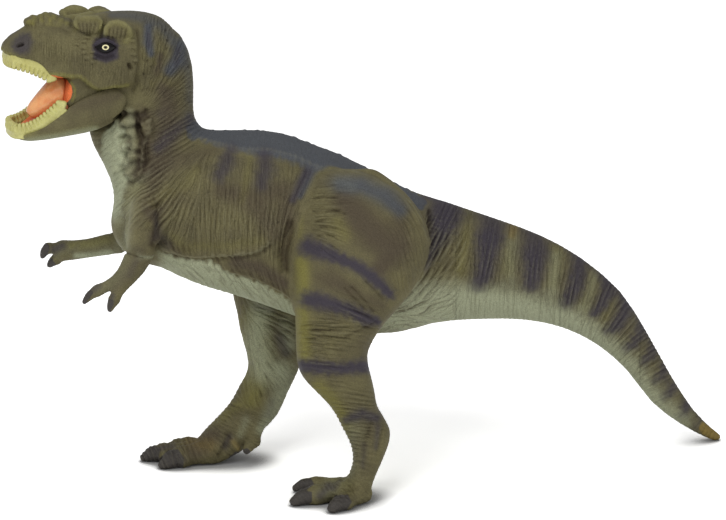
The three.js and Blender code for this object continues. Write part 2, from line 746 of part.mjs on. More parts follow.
function makeSkull() {
  const brows = Object.values(sides).flatMap((way) =>
    browShares.map((row, i) => headBump(row, way * browSpreadShares[i] * headWidth)));
  const nasals = nasalShares.map((row) => headBump(row, 0));
  return joined([profiled(skullRows, skullSteps, skullOptions), ...brows, ...nasals]);
}

// A small body on each side of the head, as a pit to cut or as a bead.
function beads([x, z, y], radius, roundness, count) {
  return Object.values(sides).map((way) => blob(
    [x * headLength, way * y * headWidth, z * headLength],
    [radius, radius * roundness, radius * roundness], count));
}

function makeEyes(grow) {
  return beads(eyeShares, eyeRadius + grow, eyeRoundness, beadSides);
}

const pocketOptions = { ...jawOptions, count: pocketSides, grow: hingeGap + pocketChord };
const pocketStart = 4; // the jaw's first section that moves inside the skull
const jawOuter = profiled(jawBodyRows, jawSteps, jawOptions);
const jawPocket = profiled(jawBodyRows.slice(pocketStart), mouthSteps, pocketOptions);
const lowerGroove = makeGroove(lowerLine, 1);
const upperGroove = makeGroove(upperLine, -1);
const coreSweep = swept(makeCore(hingeGap), -jawClosing);
const pinBore = makePin(seamGap);

// The hollow of a table of sections, smaller than its rows by an inset.
function hollow(shares, inset) {
  return profiled(headRows(shares), mouthSteps, { count: limbSides, grow: -inset });
}

// What the mouth's floor is cut back by: all that stands higher than a little under the lip of the jaw.
const floorSunkShare = 0.75; // of the band's height, how far the mouth's floor lies under the lip
const floorCutRoundness = 0.2;
const floorCutEnd = 9; // the jaw's first section behind the mouth's floor
function makeFloorCut() {
  const lip = jawBodyRows.slice(0, floorCutEnd).map(([ax, az]) => {
    const base = az - gumHeight * floorSunkShare;
    return [ax, base + headLength, ax, base, 0, headWidth];
  });
  return profiled(lip, mouthSteps, { count: smallSides, lower: floorCutRoundness });
}

const lowerJaw = jawOuter.subtract(hollow(troughShares, 0)).subtract(coreSweep).subtract(lowerGroove)
  .subtract(pinBore);
const tongue = makeTongue(0).subtract(coreSweep);
const mouthFloor = hollow(troughShares, seamGap)
  .subtract(makeFloorCut()).subtract(coreSweep).subtract(makeTongue(seamGap)).subtract(lowerGroove);
const lowerTeeth = makeTeeth(lowerLine, 1, lowerTeethCount);
const upperTeeth = makeTeeth(upperLine, -1, upperTeethCount);

// The mouth's roof is a shell in the skull's hollow, cut off level with the upper lip
const roofEdgeShares = [-0.80, 0.140]; // x and z of a point of the cut
const roofLeanShares = [0.35, 0.94]; // x and z of its direction
const roofEdge = new THREE.Vector3(roofEdgeShares[0] * headLength, 0, roofEdgeShares[1] * headLength);
const roofLean = new THREE.Vector3(roofLeanShares[0], 0, roofLeanShares[1]).normalize();
const roofShell = hollow(mouthShares, seamGap).subtract(hollow(mouthShares, seamGap + linerThickness));
const mouthRoof = beyond(roofShell, roofEdge, roofLean).subtract(upperGroove).subtract(makeCore(seamGap));

// The skin of the whole figure, parted into its mouldings
// Each seam is a plane: a point on it and its direction, in shares of the back for x and of the hips for z.
const seamShares = {
  neck: { point: [-0.785, 1.285], direction: [-0.325, 0.36] },
  tail: { point: [0.215, 0.88], direction: [0.53, -0.17] },
};
function seam({ point, direction }) {
  return [point, direction].map(([x, z]) => new THREE.Vector3(x * backLength, 0, z * hipHeight));
}

const largePeg = { radius: pegRadius, length: pegLength };
const smallPeg = { radius: smallPegRadius, length: smallPegLength };

const floorPoint = new THREE.Vector3(0, 0, soleFlat);
const upwards = new THREE.Vector3(0, 0, 1);
function onFloor(solid) {
  return beyond(solid, floorPoint, upwards);
}

const skin = joined([makeSpine(), placed(makeSkull()), makeWattles()]);
const atNeck = parted(skin, ...seam(seamShares.neck), largePeg);
const atTail = parted(atNeck.holding, ...seam(seamShares.tail), largePeg);
let trunk = atTail.holding;
let neck = atNeck.plugged;
const limbs = {};

// The upper arms belong to the trunk, so the neck is cut back round them
for (const side of Object.keys(sides)) {
  const elbow = elbowPlane(side);
  const arm = makeUpperArm(side, 0).add(makeForearm(side));
  const atElbow = parted(arm, elbow.point, elbow.normal, smallPeg);
  trunk = trunk.add(atElbow.holding);
  neck = neck.subtract(makeUpperArm(side, seamGap));
  limbs[`${side}_forearm`] = atElbow.plugged;
}

const headCuts = [
  pinBore,
  upperGroove,
  ...makeEyes(seamGap),
  ...beads(nostrilShares, nostrilRadius, 1, bandSides),
  ...beads(earShares, earRadius, 1, bandSides),
];
const head = neck
  .subtract(placed(hollow(mouthShares, 0)))
  .subtract(placed(swept(jawPocket, jawClosing)))
  .add(placed(makeCore(0)))
  .subtract(placed(joined(headCuts)));

// Each leg is cut flat at its root and plugs into a pocket of the same form in the trunk
for (const side of Object.keys(sides)) {
  const outwards = new THREE.Vector3(0, sides[side], 0);
  const hip = footPoint(side, hipShares);
  hip.y = sides[side] * hipSeam;
  const rootFace = hip.clone().addScaledVector(outwards, seamGap);
  const pegEnd = hip.clone().addScaledVector(outwards, overrun - pegLength);
  const socketEnd = pegEnd.clone().addScaledVector(outwards, -seamGap);
  const pegRoot = rootFace.clone().addScaledVector(outwards, overrun);
  limbs[`${side}_leg`] = onFloor(beyond(makeLeg(side, 0), rootFace, outwards)
    .add(rod(pegEnd, pegRoot, pegRadius, pegSides)));
  trunk = trunk.subtract(beyond(makeLeg(side, seamGap), hip, outwards))
    .subtract(rod(socketEnd, pegRoot, pegRadius + seamGap, pegSides));
}

// The assembly
function meshOf(name, solid, finish) {
  const { numProp, vertProperties, triVerts } = solid.asOriginal().simplify(sliver).getMesh();
  const count = vertProperties.length / numProp;
  const positions = new Float32Array(count * 3);
  for (let i = 0; i < count; i++) {
    positions.set(vertProperties.subarray(i * numProp, i * numProp + 3), i * 3);
  }
  const geometry = new THREE.BufferGeometry();
  geometry.setAttribute('position', new THREE.BufferAttribute(positions, 3));
  geometry.setIndex(new THREE.BufferAttribute(triVerts, 1));
  geometry.computeVertexNormals();
  const mesh = new THREE.Mesh(geometry, finish);
  mesh.name = name;
  return mesh;
}

const figure = new THREE.Group();
figure.add(meshOf('trunk', trunk, skinOlive), meshOf('head', head, skinOlive));
figure.add(meshOf('tail', onFloor(atTail.plugged), skinOlive));
for (const [name, solid] of Object.entries(limbs)) figure.add(meshOf(name, solid, skinOlive));

const headGroup = new THREE.Group();
headGroup.applyMatrix4(headFrame);
const [leftEye, rightEye] = makeEyes(0);
headGroup.add(
  meshOf('lower_jaw', lowerJaw, skinOlive),
  meshOf('mouth_floor', mouthFloor, mouthOrange),
  meshOf('tongue', tongue, tongueOrange),
  meshOf('lower_teeth', lowerTeeth, toothIvory),
  meshOf('upper_teeth', upperTeeth, toothIvory),
  meshOf('mouth_roof', mouthRoof, mouthOrange),
  meshOf('jaw_pin', makePin(0), pinSteel),
  meshOf('left_eye', leftEye, eyeBlack),
  meshOf('right_eye', rightEye, eyeBlack),
);
figure.add(headGroup);

// The origin is on the floor, under the middle of the figure
const extent = new THREE.Box3().setFromObject(figure, true);
const middle = extent.getCenter(new THREE.Vector3());
figure.position.set(-middle.x, -middle.y, -extent.min.z);

export default figure;
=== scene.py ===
# The toy dinosaur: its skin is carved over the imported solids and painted, and the mouth and eyes are pieces.
import math

import bpy
import numpy as np
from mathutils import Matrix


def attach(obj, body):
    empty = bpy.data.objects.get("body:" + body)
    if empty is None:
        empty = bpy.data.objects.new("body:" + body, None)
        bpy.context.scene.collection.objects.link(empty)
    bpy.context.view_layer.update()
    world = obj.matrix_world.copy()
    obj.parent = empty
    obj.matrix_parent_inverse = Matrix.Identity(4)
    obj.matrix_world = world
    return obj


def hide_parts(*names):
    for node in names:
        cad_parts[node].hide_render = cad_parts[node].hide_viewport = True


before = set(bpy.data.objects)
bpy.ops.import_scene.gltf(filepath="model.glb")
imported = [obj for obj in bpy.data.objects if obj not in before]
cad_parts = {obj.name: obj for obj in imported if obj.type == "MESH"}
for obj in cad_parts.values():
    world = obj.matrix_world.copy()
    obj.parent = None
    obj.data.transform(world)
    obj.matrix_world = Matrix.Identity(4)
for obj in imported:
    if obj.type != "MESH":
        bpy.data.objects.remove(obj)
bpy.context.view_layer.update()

import openvdb
from mathutils import Vector
from mathutils.bvhtree import BVHTree

MM = 0.001

# How finely the skin, the jaw and the head are meshed, in mm.
skin_cell = 0.5
jaw_cell = 0.3
field_reach = 5

# The camera: the same view as the photograph's, in mm and pixels.
picture_width = 726
picture_height = 520
camera_target = np.array([-8.331, -2.660, 89.484])
camera_distance = 1000.0
camera_turn = math.radians(8)
camera_lift = math.radians(15)
pixels_at_target = 2.57
camera_back = np.array(
    [
        -math.sin(camera_turn) * math.cos(camera_lift),
        -math.cos(camera_turn) * math.cos(camera_lift),
        math.sin(camera_lift),
    ]
)
camera_right = np.array([math.cos(camera_turn), -math.sin(camera_turn), 0.0])
camera_up = np.cross(camera_back, camera_right)

# The head turns about this upright line.
head_pivot = np.array([-83.331, -2.660, 164.0])
head_yaw = math.radians(10)
head_across = np.array([-math.sin(head_yaw), math.cos(head_yaw), 0.0])


def project(points):
    """The photograph's pixel for each point in mm."""
    offset = points - camera_target
    depth = camera_distance - offset @ camera_back
    scale = pixels_at_target * camera_distance / depth
    return np.stack(
        [
            picture_width / 2 + (offset @ camera_right) * scale,
            picture_height / 2 - (offset @ camera_up) * scale,
        ],
        axis=1,
    )


def smooth_step(value, start, end):
    t = np.clip((value - start) / (end - start), 0, 1)
    return t * t * (3 - 2 * t)


def solid(name):
    """The points, in mm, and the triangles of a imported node."""
    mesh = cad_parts[name].data
    points = np.empty(len(mesh.vertices) * 3, np.float32)
    mesh.vertices.foreach_get("co", points)
    mesh.calc_loop_triangles()
    corners = np.empty(len(mesh.loop_triangles) * 3, np.int32)
    mesh.loop_triangles.foreach_get("vertices", corners)
    return points.reshape(-1, 3) / np.float32(MM), corners.reshape(-1, 3).astype(np.uint32)


class Field:
    """Distances to the nearest of several solids on one grid, with the number of that solid."""

    def __init__(self, names, cell):
        self.names = names
        self.cell = cell
        solids = [solid(name) for name in names]
        everything = np.concatenate([points for points, corners in solids])
        margin = field_reach + 3
        self.low = np.floor(everything.min(axis=0) / cell).astype(int) - margin
        high = np.ceil(everything.max(axis=0) / cell).astype(int) + margin
        self.values = np.full(high - self.low, field_reach * cell, np.float32)
        self.owner = np.zeros(self.values.shape, np.int8)
        for number, (points, corners) in enumerate(solids):
            grid = openvdb.FloatGrid.createLevelSetFromPolygons(
                points,
                triangles=corners,
                transform=openvdb.createLinearTransform(cell),
                halfWidth=field_reach,
            )
            first = np.floor(points.min(axis=0) / cell).astype(int) - margin
            last = np.ceil(points.max(axis=0) / cell).astype(int) + margin
            part = np.empty(last - first, np.float32)
            grid.copyToArray(part, ijk=tuple(int(i) for i in first))
            place = tuple(slice(a, b) for a, b in zip(first - self.low, last - self.low))
            nearer = part < self.values[place]
            self.values[place][nearer] = part[nearer]
            self.owner[place][nearer] = number

    def soften(self, passes):
        """Rounds the field by a small blur, once for each pass."""
        for _ in range(passes):
            for axis in range(3):
                moved = np.moveaxis(self.values, axis, 0)
                inner = (moved[:-2] + 2 * moved[1:-1] + moved[2:]) / 4
                moved[1:-1] = inner

    def surface(self):
        """The points, in mm, and the four-cornered faces where the distance is zero, facing out."""
        grid = openvdb.FloatGrid(field_reach * self.cell)
        grid.transform = openvdb.createLinearTransform(self.cell)
        grid.copyFromArray(self.values, ijk=tuple(int(i) for i in self.low))
        points, faces = grid.convertToQuads(0.0)
        points = points.astype(np.float64)
        faces = faces.astype(np.int64)
        a, b, c, d = (points[faces[:, k]] for k in range(4))
        volume = np.einsum("ij,ij->i", a, np.cross(c - a, d - b)).sum()
        return points, faces if volume > 0 else faces[:, ::-1]

    def owners(self, points):
        """The number of the solid nearest to each point."""
        place = np.rint(points / self.cell).astype(int) - self.low
        return self.owner[place[:, 0], place[:, 1], place[:, 2]]


class Net:
    """How the points of a mesh are joined, for smoothing."""

    most = 8

    def __init__(self, count, faces):
        pairs = np.concatenate([faces[:, [k, (k + 1) % 4]] for k in range(4)])
        pairs = np.concatenate([pairs, pairs[:, ::-1]])
        keys = np.unique(pairs[:, 0] * count + pairs[:, 1])
        start, end = keys // count, keys % count
        first = np.searchsorted(start, np.arange(count))
        order = np.arange(len(start)) - first[start]
        kept = order < self.most
        self.table = np.tile(np.arange(count)[:, None], (1, self.most))
        self.table[start[kept], order[kept]] = end[kept]
        self.degree = np.bincount(start[kept], minlength=count).astype(float)
        self.start, self.end = start, end

    def around(self, values):
        """The sum over each point's neighbours."""
        total = values[self.table[:, 0]].copy()
        for k in range(1, self.most):
            total += values[self.table[:, k]]
        extra = self.most - self.degree
        return total - extra.reshape((-1,) + (1,) * (values.ndim - 1)) * values

    def average(self, values, rounds):
        share = self.degree.reshape((-1,) + (1,) * (values.ndim - 1))
        for _ in range(rounds):
            values = (values + self.around(values) / np.maximum(share, 1)) / 2
        return values

    def relax(self, points, width, cell, rounds):
        """Blurs the shape over a width in mm that may differ from point to point."""
        hold = 2 * cell * cell / np.maximum(width, 0.02) ** 2
        hold = hold[:, None]
        diagonal = hold + self.degree[:, None]
        found = points.copy()
        rest = hold * points - (diagonal * found - self.around(found))
        step = rest / diagonal
        way = step.copy()
        size = (rest * step).sum(axis=0)
        for _ in range(rounds):
            pushed = diagonal * way - self.around(way)
            gain = size / np.maximum((way * pushed).sum(axis=0), 1e-12)
            found += gain * way
            rest -= gain * pushed
            step = rest / diagonal
            new_size = (rest * step).sum(axis=0)
            way = step + new_size / np.maximum(size, 1e-12) * way
            size = new_size
        return found

    def components(self):
        """A number for each separate body of the mesh."""
        label = np.arange(len(self.degree))
        while True:
            lower = label.copy()
            np.minimum.at(lower, self.start, label[self.end])
            lower = lower[lower]
            if np.array_equal(lower, label):
                return label
            label = lower


def normals_of(points, faces):
    a, b, c, d = (points[faces[:, k]] for k in range(4))
    across = np.cross(c - a, d - b)
    total = np.zeros_like(points)
    for axis in range(3):
        for k in range(4):
            total[:, axis] += np.bincount(faces[:, k], across[:, axis], len(points))
    return total / np.maximum(np.linalg.norm(total, axis=1), 1e-12)[:, None]


def largest_body(points, faces, net):
    label = net.components()
    names, counts = np.unique(label, return_counts=True)
    kept = label == names[counts.argmax()]
    number = np.cumsum(kept) - 1
    faces = number[faces[kept[faces].all(axis=1)]]
    return points[kept], faces


# Strength and relief, in mm, add up. The other layers are paint, from 0 to 1, over what lies there.
added_layers = ("strength", "relief")


def moved(path, right, down):
    return [(x + right, y + down) for x, y in path]


class Canvas:
    """A drawing in the picture plane. Places and widths are in the photograph's pixels."""

    coarse = 8

    def __init__(self, left, top, right, bottom, fine, seed):
        self.left, self.top, self.fine = left, top, fine
        self.rows = int((bottom - top) * fine)
        self.columns = int((right - left) * fine)
        row, column = np.mgrid[0 : self.rows, 0 : self.columns].astype(np.float32)
        self.x = left + (column + 0.5) / fine
        self.y = top + (row + 0.5) / fine
        self.random = np.random.default_rng(seed)
        self.layers = {}

    def layer(self, name):
        if name not in self.layers:
            self.layers[name] = np.zeros((self.rows, self.columns), np.float32)
        return self.layers[name]

    def noise(self, spacing, spread):
        """Noise whose lumps are about the given spacing apart, with unit deviation."""
        white = self.random.standard_normal((self.rows, self.columns))
        down = np.fft.fftfreq(self.rows)[:, None] * self.fine
        along = np.fft.rfftfreq(self.columns)[None, :] * self.fine
        pitch = np.hypot(down, along) * spacing
        band = np.exp(-(((pitch - 1) / spread) ** 2) / 2)
        made = np.fft.irfft2(np.fft.rfft2(white) * band, s=white.shape)
        return (made / made.std()).astype(np.float32)

    def ragged(self, amount, spacing):
        """Moves the places that strokes are drawn at, so that their edges wander."""
        self.wander_x = self.noise(spacing, 0.5) * amount
        self.wander_y = self.noise(spacing, 0.5) * amount

    def window(self, points, reach):
        points = np.asarray(points, float)
        low = np.floor((points.min(axis=0) - reach - (self.left, self.top)) * self.fine).astype(int)
        high = np.ceil((points.max(axis=0) + reach - (self.left, self.top)) * self.fine).astype(int)
        return (
            slice(max(low[1], 0), max(min(high[1], self.rows), 0)),
            slice(max(low[0], 0), max(min(high[0], self.columns), 0)),
        )

    def places(self, window, ragged):
        x, y = self.x[window], self.y[window]
        if ragged:
            return x + self.wander_x[window], y + self.wander_y[window]
        return x, y

    def ratio(self, points, widths, window, ragged=False):
        """The distance to a drawn line over the line's own width there."""
        x, y = self.places(window, ragged)
        widths = np.broadcast_to(np.asarray(widths, float), len(points))
        nearest = np.full(x.shape, np.inf, np.float32)
        for k in range(max(len(points) - 1, 1)):
            (x0, y0), (x1, y1) = points[k], points[min(k + 1, len(points) - 1)]
            length = max((x1 - x0) ** 2 + (y1 - y0) ** 2, 1e-6)
            t = np.clip(((x - x0) * (x1 - x0) + (y - y0) * (y1 - y0)) / length, 0, 1)
            w = widths[k] + (widths[min(k + 1, len(points) - 1)] - widths[k]) * t
            away = np.hypot(x - x0 - t * (x1 - x0), y - y0 - t * (y1 - y0))
            nearest = np.minimum(nearest, away / w)
        return nearest

    def add(self, name, window, amount):
        layer = self.layer(name)
        if name in added_layers:
            layer[window] += amount
        else:
            layer[window] = 1 - (1 - layer[window]) * (1 - np.clip(amount, 0, 1))

    def line(self, name, points, widths, amount, ragged=False):
        """A stroke with a round profile."""
        window = self.window(points, 3 * np.max(widths))
        ratio = self.ratio(points, widths, window, ragged)
        self.add(name, window, amount * np.exp(-(ratio**2)))

    def crease(self, points, widths, deep, shade_widths, shade):
        """A sunk line, its depth in mm, and the shade that is painted in it."""
        self.line("relief", points, widths, -deep)
        self.line("valley", points, shade_widths, shade)

    def edge(self, points, rows, ragged=False):
        """Strokes beside one path: the layer, how far right and down it lies, the width and the amount."""
        for name, right, down, width, amount in rows:
            self.line(name, moved(points, right, down), width, amount, ragged)

    def strokes(self, table):
        """Plain strokes: for each layer the path, the widths and the amount of each one."""
        for name, rows in table.items():
            for points, widths, amount in rows:
                self.line(name, points, widths, amount)

    def band(self, name, points, widths, amount, soft=0.35, ragged=True):
        """A stroke with a flat middle and soft edges."""
        window = self.window(points, 3 * np.max(widths))
        ratio = self.ratio(points, widths, window, ragged)
        self.add(name, window, amount * smooth_step(ratio, 1 + soft, 1 - soft))

    def inside(self, outline, window, ragged=False):
        """The distance inside a closed outline, less than zero outside it."""
        x, y = self.places(window, ragged)
        within = np.zeros(x.shape, bool)
        count = len(outline)
        for k in range(count):
            (x0, y0), (x1, y1) = outline[k], outline[(k + 1) % count]
            if y0 == y1:
                continue
            crosses = (y0 > y) != (y1 > y)
            within ^= crosses & (x < (x1 - x0) * (y - y0) / (y1 - y0) + x0)
        away = self.ratio(list(outline) + [outline[0]], 1.0, window, ragged)
        return np.where(within, away, -away)

    def patch(self, name, outline, soft, amount, ragged=True):
        """A filled outline whose edge fades over the given width."""
        window = self.window(outline, 2 * soft + 2)
        deep = self.inside(outline, window, ragged)
        self.add(name, window, amount * smooth_step(deep, -soft, soft))

    def sample(self, name, place):
        """The layer's value at each pixel place, evened out between the cells."""
        if name not in self.layers:
            return np.zeros(len(place), np.float32)
        layer = self.layers[name]
        column = np.clip((place[:, 0] - self.left) * self.fine - 0.5, 0, self.columns - 1.001)
        row = np.clip((place[:, 1] - self.top) * self.fine - 0.5, 0, self.rows - 1.001)
        i, j = row.astype(int), column.astype(int)
        s, t = row - i, column - j
        upper = layer[i, j] * (1 - t) + layer[i, j + 1] * t
        lower = layer[i + 1, j] * (1 - t) + layer[i + 1, j + 1] * t
        return upper * (1 - s) + lower * s

    def ways(self, strokes):
        """The way that folds run at every coarse cell, from the nearest of the drawn strokes."""
        x = self.x[:: self.coarse, :: self.coarse]
        y = self.y[:: self.coarse, :: self.coarse]
        across, down = np.zeros(x.shape), np.zeros(x.shape)
        for (x0, y0), (x1, y1) in strokes:
            length = math.hypot(x1 - x0, y1 - y0)
            t = np.clip(((x - x0) * (x1 - x0) + (y - y0) * (y1 - y0)) / length**2, 0, 1)
            weight = 1 / (np.hypot(x - x0 - t * (x1 - x0), y - y0 - t * (y1 - y0)) + 2) ** 3
            across += weight * (x1 - x0) / length
            down += weight * (y1 - y0) / length
        size = np.maximum(np.hypot(across, down), 1e-9)
        return across / size, down / size

    def finer(self, values):
        """A coarse layer at every cell."""
        row = np.minimum(np.arange(self.rows) / self.coarse, values.shape[0] - 1.001)
        column = np.minimum(np.arange(self.columns) / self.coarse, values.shape[1] - 1.001)
        i, j = row.astype(int)[:, None], column.astype(int)[None, :]
        s, t = row[:, None] - i, column[None, :] - j
        upper = values[i, j] * (1 - t) + values[i, j + 1] * t
        lower = values[i + 1, j] * (1 - t) + values[i + 1, j + 1] * t
        return (upper * (1 - s) + lower * s).astype(np.float32)

    def folds(self, strokes, spacing, reach, spread):
        """Long folds that follow the drawn strokes, in the range of about minus one to one."""
        noise = self.noise(spacing, spread)
        across, down = (self.finer(values) for values in self.ways(strokes))
        steps = int(reach * self.fine)
        total = noise.copy()
        start_row, start_column = np.mgrid[0 : self.rows, 0 : self.columns].astype(np.float32)
        for sign in (1, -1):
            row, column = start_row.copy(), start_column.copy()
            for step in range(1, steps):
                i = np.clip(row, 0, self.rows - 1).astype(np.int32)
                j = np.clip(column, 0, self.columns - 1).astype(np.int32)
                column += sign * across[i, j]
                row += sign * down[i, j]
                total += noise[i, j] * np.float32(math.cos(math.pi / 2 * step / steps) ** 2)
        total /= total.std()
        return np.tanh(1.1 * (total + 0.3)).astype(np.float32)

    def place_folds(self, strokes):
        """Two layers that hold the way of the finest folds, as the sides of twice its angle."""
        across, down = (self.finer(values) for values in self.ways(strokes))
        self.layers["way_x"] = across**2 - down**2
        self.layers["way_y"] = 2 * across * down


# The eye: the middle of its almond, its half width, and its half heights over and under the middle.
eye_middle = (105.5, 47.3)
eye_half_width = 10.5
eye_over, eye_under = 5.2, 5.6


def eye_arc(way):
    """The upper edge of the eye for a way of -1, the lower for 1."""
    high = eye_under if way > 0 else eye_over
    shares = np.linspace(-1, 1, 9)
    return [(eye_middle[0] + eye_half_width * t, eye_middle[1] + way * high * (1 - t * t)) for t in shares]


def eye_outline(scale):
    points = eye_arc(-1) + eye_arc(1)[-2:0:-1]
    return [tuple(m + (v - m) * scale for m, v in zip(eye_middle, point)) for point in points]


# Where the claws lie in the picture.
near_claws = [
    [(288, 497), (290, 488), (299, 480), (311, 478), (314, 484), (304, 492), (294, 499)],
    [(284, 509), (290, 500), (302, 490), (312, 492), (312, 502), (300, 509), (288, 512)],
    [(324, 514), (328, 503), (336, 495), (348, 494), (352, 502), (346, 511), (336, 517), (326, 517)],
]
far_claws = [
    [(134, 459), (140, 450), (154, 445), (160, 449), (158, 462), (146, 465), (134, 462)],
    [(152, 470), (160, 458), (168, 450), (178, 449), (184, 458), (183, 470), (170, 474), (154, 474)],
    [(228, 458), (236, 451), (248, 448), (252, 454), (242, 462), (228, 462)],
]
hand_claws = [
    [(76, 306), (82, 296), (88, 289), (94, 291), (90, 298), (82, 307)],
    [(103, 315), (104, 304), (108, 298), (114, 300), (113, 308), (108, 316)],
    [(36, 258), (38, 248), (44, 242), (50, 246), (48, 256), (42, 261)],
    [(44, 268), (46, 260), (52, 258), (56, 263), (52, 271)],
]


# The ways that the skin's folds run, as strokes from one pixel to another.
head_ways = [
    ((30, 30), (28, 60)), ((50, 20), (48, 65)), ((70, 35), (68, 75)), ((120, 60), (115, 85)),
    ((132, 40), (138, 68)), ((151, 30), (145, 73)), ((163, 20), (157, 73)), ((174, 30), (153, 85)),
    ((186, 60), (154, 97)), ((189, 85), (153, 109)),
]
body_ways = [
    ((151, 30), (145, 73)), ((163, 20), (157, 73)), ((174, 30), (153, 85)), ((186, 60), (154, 97)),
    ((189, 85), (153, 109)), ((189, 106), (151, 130)), ((191, 121), (145, 145)),
    ((195, 133), (144, 168)), ((191, 129), (153, 150)), ((194, 144), (141, 174)),
    ((200, 154), (156, 189)), ((167, 184), (137, 209)), ((184, 183), (157, 220)),
    ((194, 189), (177, 231)), ((206, 163), (203, 249)), ((237, 163), (233, 249)),
    ((263, 163), (261, 246)), ((279, 177), (273, 229)), ((311, 170), (291, 220)),
    ((320, 173), (296, 209)), ((156, 249), (191, 274)), ((230, 262), (260, 300)),
    ((439, 230), (399, 300)), ((454, 236), (413, 306)), ((456, 259), (426, 307)),
    ((440, 300), (385, 312)), ((430, 322), (385, 312)), ((455, 270), (385, 312)),
    ((477, 221), (471, 307)), ((517, 227), (508, 315)), ((550, 244), (544, 323)),
    ((581, 259), (567, 327)), ((608, 277), (587, 332)), ((627, 307), (600, 344)),
    ((646, 332), (617, 357)), ((662, 357), (635, 375)), ((677, 388), (652, 400)),
    ((692, 411), (671, 423)), ((708, 425), (700, 438)), ((230, 130), (232, 150)),
    ((300, 140), (305, 165)), ((380, 170), (390, 200)),
]
near_leg_ways = [
    ((313, 195), (350, 190)), ((310, 210), (345, 207)), ((345, 180), (385, 195)),
    ((385, 195), (412, 225)), ((412, 225), (420, 265)), ((400, 240), (410, 290)),
    ((360, 215), (395, 245)), ((395, 245), (400, 290)), ((356, 279), (379, 300)),
    ((330, 265), (385, 300)), ((310, 285), (370, 310)), ((298, 335), (361, 343)),
    ((300, 328), (351, 330)), ((303, 363), (366, 369)), ((338, 383), (366, 387)),
    ((348, 430), (370, 432)), ((335, 400), (372, 404)), ((345, 460), (372, 466)),
    ((320, 485), (328, 496)), ((345, 492), (356, 502)),
]
far_leg_ways = [
    ((245, 340), (250, 400)), ((259, 311), (290, 324)), ((262, 350), (285, 380)),
    ((238, 310), (240, 345)), ((215, 425), (240, 440)), ((195, 440), (205, 462)),
    ((230, 405), (262, 418)), ((170, 450), (176, 465)),
]
arm_ways = [
    ((128, 220), (150, 215)), ((120, 262), (140, 266)), ((108, 280), (122, 288)),
    ((90, 240), (94, 252)), ((60, 244), (62, 256)),
]
jaw_ways = [((20, 136), (60, 128)), ((70, 128), (100, 118)), ((100, 95), (108, 125))]


def body_pitch(x):
    """How far apart the finest folds lie, in pixels: closer by steps towards the tip of the tail."""
    return np.select([x < 456, x < 560, x < 640], [4.4, 3.9, 3.3], 2.7)


# The plain strokes of each part: for each layer the path, the widths and the amount of each stroke.
# The rear of the upper arm is darkened in brown and dark as painted shade, and its front lightened in ridge
# and pale as a painted highlight.
upper_arm_strokes = {
    "relief": [([(142, 200), (141, 222), (136, 243)], [12, 10, 8], 1.7)],
    "brown": [([(152, 206), (156, 224), (154, 242)], [8, 8, 7], 0.85)],
    "dark": [([(157, 214), (159, 238)], [5, 6], 0.35)],
    "ridge": [([(137, 196), (133, 222), (129, 243)], [9, 7, 6], 0.7)],
    "pale": [([(132, 205), (129, 225), (125, 244)], [7, 6, 5], 0.35)],
}
# Sunk lines: the path, its widths and its depth in mm, then the widths and the strength of its shade.
upper_arm_creases = [
    ([(159, 204), (162, 224), (156, 244)], [5, 6, 5], 2.2, [6, 7, 6], 0.5),
    ([(123, 219), (121, 234), (124, 246)], [3, 4, 3], 1.1, [3, 3.5, 3], 0.4),
]


def draw_upper_arm(c):
    """The upper arm, which stands out from the chest. Two canvases meet on it, so both are drawn alike."""
    for crease in upper_arm_creases:
        c.crease(*crease)
    c.strokes(upper_arm_strokes)


